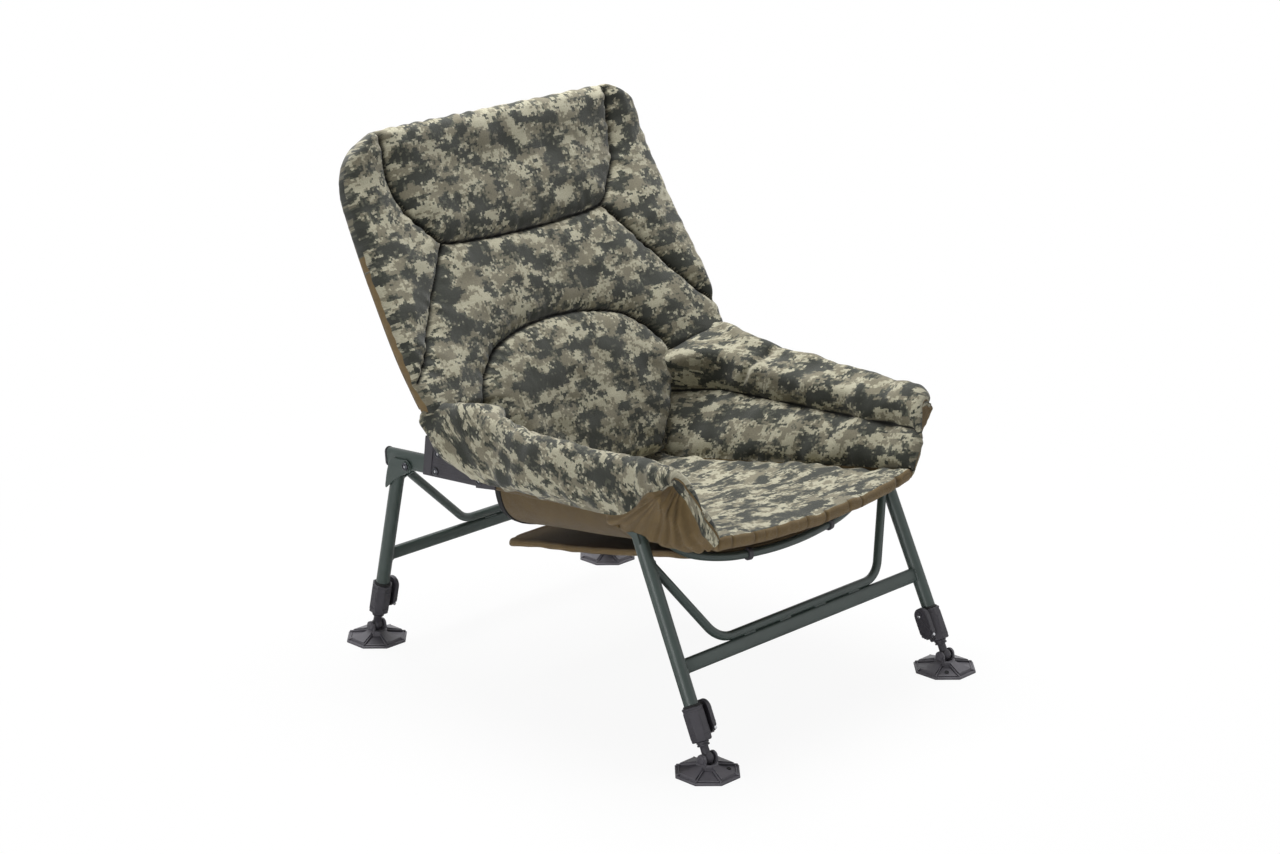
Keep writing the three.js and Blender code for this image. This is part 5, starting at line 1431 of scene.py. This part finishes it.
class ARMCHAIR_OT_sling(Operator):
    """Make the canvas sling, its sleeves round the rails and its black rear binding"""
    bl_idname = "armchair.sling"
    bl_label = "Sling"

    def execute(self, context):
        v = np.linspace(0, 1, 90)
        across = np.sin(np.linspace(-math.pi / 2, math.pi / 2, 130))
        across = 0.55 * across + 0.45 * np.linspace(-1, 1, 130)
        x = across[:, None] * SLING["half"] * np.ones(len(v))
        y = between(SLING["rear"], sling_front(x), v[None, :])
        x = x * between(1, 0.955, ease((-y - 158) / 8))
        z = sling_surface(x, y)
        flat = np.stack([x, y], axis=-1)
        slack = (1 - np.abs(across[:, None]) ** 6) * ease(v / 0.1) * ease((1 - v) / 0.1)
        z = z - 1.4 + np.clip(waves(flat * (0.4, 1), 70, 41), -1, 0.2) * 1.2 * slack
        rim = np.zeros_like(x)
        rim[1:-1, 1:-1] = 1
        top = np.stack([x, y, z + 0.7 * rim], axis=-1)
        bottom = np.stack([x, y, z - 0.7 * rim], axis=-1)
        run = lengths(np.stack([x[:, 0], z[:, 0]], axis=1))
        cloth = np.stack([np.broadcast_to(run[:, None], x.shape), y], axis=-1)

        def finish_of(layer):
            return np.zeros((len(across) - 1, len(v) - 1), int)

        points, faces, uv, finish = cloth_grid(top, bottom, cloth, cloth, finish_of)
        piece = soft_piece("sling_canvas", placed(SOFT_FRAME, points), faces, uv, finish,
                           finishes("canvas"), "seat", ["seat_sling"])
        outwards(piece.data)
        self.sleeves()
        self.binding(x[:, 0], z[:, 0])
        return {"FINISHED"}

    def sleeves(self):
        """Canvas sleeves round both rails."""
        for side, word in SIDES:
            run = np.linspace(93, -160, 90)
            along = (PIVOT_PLACE[1] - run) / math.cos(SLOPE)
            section = flat_oval(RAIL["wide"] + 3, RAIL["tall"] + 3, 16)
            spin = np.arctan2(section[:, 1], section[:, 0])
            rings = []
            for inward, order in ((0, along), (1.1, along[::-1])):
                for forward in order:
                    place = np.stack([np.full(len(spin), forward), spin * 14], axis=1)
                    swell = 1 + 0.035 * waves(place, 30, 43)
                    ring = section * swell[:, None] * (1 - inward / 14)
                    rings.append(np.c_[ring[:, 0], np.full(len(ring), -forward), RAIL["rise"] + ring[:, 1]])
            points = np.vstack(rings)
            around, count = len(section), len(rings)
            faces = rings_to_faces(count, around, closed_ends=False)
            faces += [((count - 1) * around + k, (count - 1) * around + (k + 1) % around, (k + 1) % around, k)
                      for k in range(around)]
            loop = lengths(np.vstack([section, section[:1]]))
            uv = [(loop[i % around], -points[i, 1]) for face in faces for i in face]
            place = SEAT_FRAME @ move(side * RAIL["half"])
            piece = soft_piece(f"{word}_rail_sleeve", placed(place, points), faces, uv, [0] * len(faces),
                               finishes("canvas"), "seat", [])
            outwards(piece.data)

    def binding(self, x, z):
        """Black tape folded over the sling's rear edge."""
        line = resampled(np.stack([x, np.full(len(x), SLING["rear"] - 3.5), z], axis=1), 140)
        section = np.array([(-5, -1.9), (5, -1.9), (5.6, 0), (5, 1.9), (-5, 1.9), (-5.6, 0)], float)
        shape = Shape().add(tube(line, section, (0, 0, 1)), 0, SOFT_FRAME)
        hard_piece("sling_rear_binding", shape, finishes("binding"), "seat", [])


class ARMCHAIR_OT_flap(Operator):
    """Make the padded flap under the seat"""
    bl_idname = "armchair.flap"
    bl_label = "Flap under the seat"

    def execute(self, context):
        f = FLAP
        u, v = graded(90, 0.018, 7), graded(110, 0.012, 7)
        across = (2 * u - 1)[:, None] * np.ones(len(v))
        bar_y = float(bar_at(0.0)[1])
        run = v * (f["rear_y"] - bar_y)
        inward = np.maximum(f["corner"] - run, 0)
        corner = f["corner"] - np.sqrt(np.maximum(f["corner"] ** 2 - inward**2, 0))
        x = across * (f["half"] - corner[None, :])
        bar = bar_at(across * f["half"])
        y = between(f["rear_y"], bar[..., 1] + BAR + 0.3, v[None, :])
        middle = between(f["rear_z"], bar[..., 2], v[None, :]) - f["sag"] * np.sin(math.pi * v)[None, :]
        edge = np.minimum((1 - np.abs(across)) * f["half"], np.minimum(v, 1 - v)[None, :] * run[-1])
        rounding = rim_round(edge / 5.5)
        flat = np.stack([x, y], axis=-1)
        quilt = 1 - 0.16 * np.exp(-(((edge - 14) / 3) ** 2))
        wave = waves(np.stack([np.where(np.abs(across) > 0.9, y, x), edge * 0.3], axis=-1), 36, 51)
        middle = middle + 0.7 * wave * np.exp(-edge / 25) + 0.8 * waves(flat, 120, 52)
        half = f["thick"] / 2 * rounding * quilt
        top = np.stack([x, y, middle + half], axis=-1)
        bottom = np.stack([x, y, middle - half], axis=-1)

        # Painted light: the edge within 9 mm takes the hem finish, the canvas painted lighter, as the lit
        # rim.
        def finish_of(layer):
            return (edge[:-1, :-1] < 9) * 1

        points, faces, uv, finish = cloth_grid(top, bottom, flat, flat, finish_of)
        piece = soft_piece("flap_pad", placed(SOFT_FRAME, points), faces, uv, finish,
                           finishes("canvas", "hem"), "seat", ["under_seat_flap"])
        outwards(piece.data)
        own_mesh(piece)
        return {"FINISHED"}


# The padded sides and arms. Pairs are (share of the length from the rear, share).
RIDGE_HEIGHTS = [(0, 0.935), (0.03, 0.975), (0.13, 1), (0.24, 0.985), (0.39, 0.968), (0.6, 0.97),
                 (0.88, 0.975), (0.95, 0.972), (1, 0.965)]
RIDGE_OUT = [(0, 0.9), (0.13, 0.7), (0.24, 0.5), (0.39, 0.64), (0.52, 0.6), (0.64, 0.46), (0.76, 0.32),
             (0.88, 0.24), (1, 0.2)]
HEM_HEIGHTS = [(0, 0.93), (0.02, 0.9), (0.05, 0.84), (0.106, 0.767), (0.212, 0.737), (0.379, 0.75),
               (0.54, 0.758), (0.7, 0.769), (0.778, 0.786), (0.86, 0.825), (0.94, 0.885), (1, 0.9)]
CHANNEL_RISES = [(0, 0.6), (0.3, 0.5), (0.8, 0.25), (1, 0.2)]
# The lower rim of the canvas at the front corner, as (distance forward, half width) pairs and as
# (distance forward, height) pairs.
GUSSET = ([(174, 299), (215, 294), (250, 284), (283, 271), (310, 252), (340, 228)],
          [(174, 354), (215, 342), (250, 335), (283, 327), (310, 328), (340, 334)])
CHANNEL_AT = 39  # the point of each upper line that lies in the sewn channel
OUTER_ROLL = [(-0.4, 0.9), (-0.2, 0.98), (0, 1), (0.24, 0.92), (0.38, 0.74), (0.45, 0.48), (0.38, 0.2)]


def arm_section(share):
    """The padding's upper line from the seat to the hem, its lower line back, and how far that hangs."""
    a = ARM
    y = between(a["rear"], a["front"], share)
    rail_top = rail_z(y) + RAIL["tall"] / 2 / math.cos(SLOPE)
    rail_front = PIVOT_PLACE[1] - RAIL_END
    past = float(ease((rail_front - y) / (rail_front - a["front"]) * 2))
    ridge_z = a["ridge"] * float(along_pairs(RIDGE_HEIGHTS, share))
    flare = float(ease((y - a["flare_from"]) / (a["rear"] - a["flare_from"])))
    end = min(y, SEAT["rear"])
    crease = np.array([seat_half(end) + 1,
                       seat_top(seat_half(end), end) - SEAT["thick"] / 2 + a["flare_up"] * flare])
    thick = between(a["thick"], a["front_sheet"], past)
    ridge_x = RAIL["half"] + a["thick"] * float(along_pairs(RIDGE_OUT, share))
    hem_z = a["ridge"] * float(along_pairs(HEM_HEIGHTS, share))
    spread = a["spread"] * float(ease((y - 78) / 92))
    channel = np.array([RAIL["half"] - a["channel_in"] - spread,
                        rail_top + a["sheet"] * float(along_pairs(CHANNEL_RISES, share))])
    free = max(past, float(ease((y - SLING["rear"]) / a["sheet"])))

    foot = crease + (0, SEAT["rim"] / 2)
    run = channel - foot
    normal = np.array([-run[1], run[0]]) / np.linalg.norm(run)
    panel = [foot]
    for at, rise in ((0.14, 0.17), (0.34, 0.25), (0.6, 0.25), (0.84, 0.17)):
        panel.append(foot + run * at + normal * rise * thick)
    panel.append(channel)
    tall = ridge_z - channel[1]
    roll = [channel, channel + (-0.09 * thick, 0.13 * tall), channel + (-0.11 * thick, 0.34 * tall),
            channel + (0.02 * thick, 0.66 * tall)]
    fold = thick / 8
    for x, z in OUTER_ROLL:
        roll.append(np.array([min(ridge_x + x * thick, a["widest"] + x * fold), between(hem_z, ridge_z, z)]))
    outside = RAIL["half"] + HOUSING["inside"] + HOUSING["plate"] + HOUSING["head"] + 2 * a["clear"]
    roll.append(np.array([outside + 2 * fold, hem_z + fold / 2]))
    upper = np.vstack([curve_through(panel, CHANNEL_AT + 1)[:-1], curve_through(roll, 78)])

    floor = between(rail_top + a["clear"], ridge_z - a["sheet"], past)
    lower = [upper[-1], (outside + fold, hem_z), (outside, max(hem_z + 0.3, floor - fold)),
             (outside - fold, floor), (RAIL["half"], floor)]
    for k, station in enumerate((0.93, 0.912, 0.86, 0.8, 0.66)):
        x = max(station * SLING["half"], foot[0] + 5 - k)
        thin = foot + run * (1 - k / 5) - normal * a["sheet"] * 0.75
        on_sling = float(sling_surface(np.array(x + 2), np.array(y))) + a["clear"]
        lower.append((min(between(x, thin[0], free), channel[0]), between(on_sling, thin[1], free)))
    lower.append((foot[0], foot[1] - SEAT["rim"]))
    lower.append(foot)
    lower = resampled(np.array(lower, float), len(upper))
    # At the front corner the canvas hangs from the hem, outside the rail's end and the bar.
    hang = float(ease((-172 - y) / 25) * ease((y - a["front"] - 4) / 11))
    hem_x = upper[-1, 0]
    low_x, low_z = (float(along_pairs(pairs, -y)) for pairs in GUSSET)
    halfway = between(np.array([hem_x - 2, hem_z]), (low_x, low_z), 0.62)
    corner = curve_through([upper[-1], (hem_x - 1, hem_z - 8), halfway, (low_x, low_z + 4),
                            (low_x - 7, low_z), (foot[0] + 3, foot[1] - SEAT["rim"] - 3), foot],
                           len(upper))
    return y, upper, lower, corner, hang


def arm_surface(set_back):
    """Grids of the upper and the lower side from the rear to the front, with their runs."""
    stations = graded(140, 0.034, 12)
    upper, lower, distance = [], [], []
    for share in stations:
        y, top, under, corner, hang = arm_section(share)
        end = min(share, 1 - share) * (ARM["rear"] - ARM["front"])
        fill = math.sqrt(1 - (1 - min(end / (11 if share < 0.5 else 19), 1)) ** 2)
        matched = under[::-1]
        middle = (top + matched) / 2
        # The roll ends like a bolster: all round its core.
        core = top[50:].mean(axis=0)
        rolled = ease((np.arange(len(top)) - 40) / 14)[:, None] * (0.62 if share > 0.5 else 0)
        middle = between(middle, core, rolled)
        fill = 0.1 + 0.9 * fill
        top, matched = between(middle, top, fill), between(middle, matched, fill)
        matched = between(matched, corner[::-1], hang)
        foot_z, ridge = top[0, 1], top[:, 1].max()
        climbed = np.maximum.accumulate(np.clip((top[:, 1] - foot_z) / (ridge - foot_z), 0, 1))
        back = set_back[0] * climbed ** set_back[1] * float(ease((share - 0.72) / 0.28))
        upper.append(np.c_[top[:, 0], y + back, top[:, 1]])
        lower.append(np.c_[matched[:, 0], y + back * (1 - hang * set_back[2]), matched[:, 1]])
        distance.append(lengths(top))
    return stations, np.array(upper), np.array(lower), np.array(distance)


class ARMCHAIR_OT_arm_padding(Operator):
    """Make the padded sides that turn up beside the seat and roll over the rails"""
    bl_idname = "armchair.arm_padding"
    bl_label = "Arm padding"

    def execute(self, context):
        pucker = context.scene.armchair_sizes.pucker * 1000
        for (side, word), set_back in zip(SIDES, SET_BACKS):
            stations, upper, lower, across = arm_surface(set_back)
            run = np.broadcast_to((stations * (ARM["rear"] - ARM["front"]))[:, None], across.shape)
            beyond = across - across[:, CHANNEL_AT, None]
            channel = np.abs(beyond)
            hem = across[:, -1:] - across
            seed = 60 + side
            field = np.stack([run, channel * 0.3], axis=-1)
            drag = waves(field, 26, seed) * np.exp(-channel / 16) * (1 - np.exp(-channel / 3))
            folds = waves(field * (1, 0.8), 55, seed + 3) * np.exp(-channel / 50)
            gather = waves(np.stack([run, hem * 0.3], axis=-1), 23, seed + 5) * np.exp(-hem / 22)
            crease = waves(np.stack([run, across * 0.3], axis=-1), 30, seed + 7) * np.exp(-across / 20)
            flat = np.stack([run, across], axis=-1)
            lumps = 1.7 * waves(flat, 110, seed + 9) + 0.9 * waves(flat, 48, seed + 11)
            ends = np.minimum(stations, 1 - stations)[:, None] * (ARM["rear"] - ARM["front"])
            quiet = ease(np.minimum(ends / 25, 1)) * (1 - np.exp(-np.minimum(channel, hem) / 6))
            rise = pucker * (1.5 * drag + folds + 1.4 * gather + crease) + lumps * quiet
            nipped = (run - 150 - 0.28 * beyond) / 6
            rise -= 5.5 * np.exp(-(nipped**2)) * ease(beyond / 30) * (1 - ease((beyond - 95) / 40))
            du = np.gradient(upper, axis=0)
            dv = np.gradient(upper, axis=1)
            normal = np.cross(dv, du)
            normal /= np.maximum(np.linalg.norm(normal, axis=-1), 1e-9)[..., None]
            normal *= np.sign(normal[len(stations) // 2, 20, 2])
            top = upper + normal * rise[..., None]
            top[:, -1] = upper[:, -1]
            top[:, 0] = upper[:, 0]
            outward = np.cross(np.gradient(lower, axis=0), np.gradient(lower, axis=1))
            outward /= np.maximum(np.linalg.norm(outward, axis=-1), 1e-9)[..., None]
            # Folds of the hanging canvas fan out from the top of the front corner.
            fan = np.arctan2(lower[..., 2] - 418, lower[..., 1] + 292)
            slack = np.abs(waves((fan * 150)[..., None], 62, seed + 13)) - 0.5
            edge_fade = ease(np.minimum(np.minimum(across, hem) / 16, ends / 14)) * ease((run - 340) / 50)
            under = lower - outward * (set_back[3] * slack * edge_fade)[..., None]
            # Painted shade along the sewn channel.
            channel_shade = np.clip(1 - channel / 3.8, 0, 1) * ease(ends / 12)
            self.build(word, side, top, under, run, across, channel_shade)
        return {"FINISHED"}

    def build(self, word, side, upper, lower, run, across, crease):
        rows, columns = across.shape
        flip = np.array([side, 1, 1.0])
        number = np.arange(rows * columns).reshape(rows, columns)
        under = number.copy()
        under[:, 1:-1] = rows * columns + np.arange(rows * (columns - 2)).reshape(rows, columns - 2)
        points = np.vstack([upper.reshape(-1, 3), lower[:, 1:-1].reshape(-1, 3)]) * flip
        faces, uv, finish = [], [], []
        cloth = np.stack([run, across], axis=-1)
        # The underside's cloth is measured back from the front end.
        steps = np.linalg.norm(np.diff(lower, axis=0), axis=-1)[::-1]
        behind = np.vstack([np.zeros(columns), np.cumsum(steps, axis=0)])[::-1]
        under_cloth = np.stack([run[-1, 0] + 60 - behind, across], axis=-1)
        panel = np.where(np.arange(columns - 1) < CHANNEL_AT, 0, 1)
        shift = panel_shift(panel + (1 if side > 0 else 3))
        # Painted light: the underside and the end ladders take the hem finish, the canvas painted lighter;
        # the folded front end keeps the print.
        for ids, layer in ((number, 0), (under, 1)):
            order = [(0, 0), (1, 0), (1, 1), (0, 1)]
            faces.append(at_corners(ids, order, -1).reshape(-1, 4))
            corner = at_corners(under_cloth if layer else cloth, order, -2)
            uv.append((corner + (0 if layer else shift[None, :, None])).reshape(-1, 4, 2))
            folded_under = np.broadcast_to(run[:-1, :1] > run[-1, 0] - 8, (rows - 1, columns - 1))
            finish.append(np.where(folded_under, 0, layer).ravel())
        for row in (0, rows - 1):
            ladder = [(number[row, k], number[row, k + 1], under[row, k + 1], under[row, k])
                      for k in range(columns - 1)]
            ladder[0] = (number[row, 0], number[row, 1], under[row, 1])
            ladder[-1] = (number[row, -2], number[row, -1], under[row, -2])
            faces.append(ladder)
            for face in ladder:
                uv.append(np.array([[cloth.reshape(-1, 2)[min(i, rows * columns - 1)] for i in face]]))
            finish.append(np.ones(len(ladder), int))
        all_faces = [tuple(int(i) for i in face) for group in faces for face in group]
        all_uv = np.vstack([np.asarray(group, float).reshape(-1, 2) for group in uv])
        piece = soft_piece(f"{word}_arm_pad", placed(SOFT_FRAME, points), all_faces, all_uv,
                           np.concatenate(finish).astype(int), finishes("camo", "hem"), "seat",
                           [f"{word}_side_panel", f"{word}_arm_roll"], crease)
        outwards(piece.data)
        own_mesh(piece)


# Stage.
class ARMCHAIR_OT_stage(Operator):
    """Make the floor, the soft lights and the camera at the photograph's angle"""
    bl_idname = "armchair.stage"
    bl_label = "Stage"

    def execute(self, context):
        scene = context.scene
        scene.view_settings.view_transform = "Standard"
        mesh = bpy.data.meshes.new("floor")
        mesh.from_pydata([(-9, -9, 0), (9, -9, 0), (9, 9, 0), (-9, 9, 0)], [], [(0, 1, 2, 3)])
        floor = linked("floor", mesh)
        mesh.materials.append(self.floor_finish())
        self.lights()
        camera = bpy.data.cameras.new("camera")
        camera.lens, camera.sensor_width, camera.sensor_fit = CAMERA["lens"], CAMERA["sensor"], "HORIZONTAL"
        camera.clip_end = 60
        view = linked("camera", camera)
        azimuth, elevation = math.radians(CAMERA["azimuth"]), math.radians(CAMERA["elevation"])
        target = Vector(CAMERA["target"]) + Vector(SOFT_FRAME[:3, 3] / 1000)
        back = Vector((math.sin(azimuth) * math.cos(elevation), -math.cos(azimuth) * math.cos(elevation),
                       math.sin(elevation)))
        view.location = target + back * CAMERA["far"]
        view.rotation_euler = back.to_track_quat("Z", "Y").to_euler()
        scene.camera = view
        return {"FINISHED"}

    def floor_finish(self):
        """White to the camera with a trace of the chair's shadow, plain white paper otherwise."""
        f = Finish("white floor")
        paper = f("BsdfDiffuse", {"Color": (0.9, 0.9, 0.9, 1)})
        glow = f("Emission", {"Strength": 1.0})
        apart = f("VectorMath", {0: f("TexCoord", output=3)}, 1, operation="LENGTH")
        veil = f.span(apart, 0.6, 1.5, 0.93, 1.0)
        seen = f("LightPath", output="Is Camera Ray")
        share = f("Math", {0: seen, 1: veil}, operation="MULTIPLY")
        both = f("MixShader", {0: share, 1: paper, 2: glow})
        f.tree.links.new(both, f.tree.nodes["Material Output"].inputs["Surface"])
        return f.material

    def lights(self):
        world = bpy.data.worlds.new("white room")
        bpy.context.scene.world = world
        world.use_nodes = True
        tree = world.node_tree
        rays = tree.nodes.new("ShaderNodeLightPath")
        seen = rays.outputs["Is Camera Ray"]
        for kind in ("Is Transmission Ray", "Is Glossy Ray"):
            either = tree.nodes.new("ShaderNodeMath")
            either.operation = "MAXIMUM"
            tree.links.new(seen, either.inputs[0])
            tree.links.new(rays.outputs[kind], either.inputs[1])
            seen = either.outputs[0]
        level = tree.nodes.new("ShaderNodeMapRange")
        level.inputs["To Min"].default_value = WORLD_LIGHT
        level.inputs["To Max"].default_value = 1.0
        tree.links.new(seen, level.inputs["Value"])
        background = tree.nodes["Background"]
        background.inputs["Color"].default_value = (1, 1, 1, 1)
        tree.links.new(level.outputs[0], background.inputs["Strength"])
        for name, place, size, power in LAMPS:
            lamp = bpy.data.lights.new(name, "AREA")
            lamp.size, lamp.energy, lamp.shape = size, power, "SQUARE"
            piece = linked(name, lamp)
            piece.location = place
            piece.rotation_euler = (Vector(place) - Vector(LAMPS_AIM)).to_track_quat("Z", "Y").to_euler()


OPERATORS = (
    ARMCHAIR_OT_stage, ARMCHAIR_OT_tubes, ARMCHAIR_OT_brackets, ARMCHAIR_OT_bolts, ARMCHAIR_OT_housings,
    ARMCHAIR_OT_leg_ends, ARMCHAIR_OT_back_cushion, ARMCHAIR_OT_back_cover, ARMCHAIR_OT_seat_cushion,
    ARMCHAIR_OT_sling, ARMCHAIR_OT_flap, ARMCHAIR_OT_arm_padding,
)


class ARMCHAIR_PT_panel(Panel):
    """Buttons for the chair's pieces, with their sizes and colours"""
    bl_idname = "ARMCHAIR_PT_panel"
    bl_label = "Armchair"
    bl_space_type = "VIEW_3D"
    bl_region_type = "UI"
    bl_category = "Armchair"

    def draw(self, context):
        for group in (context.scene.armchair_sizes, context.scene.armchair_colours):
            column = self.layout.column()
            for name in group.__annotations__:
                column.prop(group, name)
        column = self.layout.column()
        for operator in OPERATORS:
            column.operator(operator.bl_idname)


CLASSES = (ArmchairColours, ArmchairSizes, *OPERATORS, ARMCHAIR_PT_panel)


def register():
    for cls in CLASSES:
        bpy.utils.register_class(cls)
    bpy.types.Scene.armchair_colours = PointerProperty(type=ArmchairColours)
    bpy.types.Scene.armchair_sizes = PointerProperty(type=ArmchairSizes)


def unregister():
    del bpy.types.Scene.armchair_colours
    del bpy.types.Scene.armchair_sizes
    for cls in reversed(CLASSES):
        bpy.utils.unregister_class(cls)


def main():
    register()
    for operator in OPERATORS:
        group, name = operator.bl_idname.split(".")
        getattr(getattr(bpy.ops, group), name)()


if __name__ == "__main__":
    main()
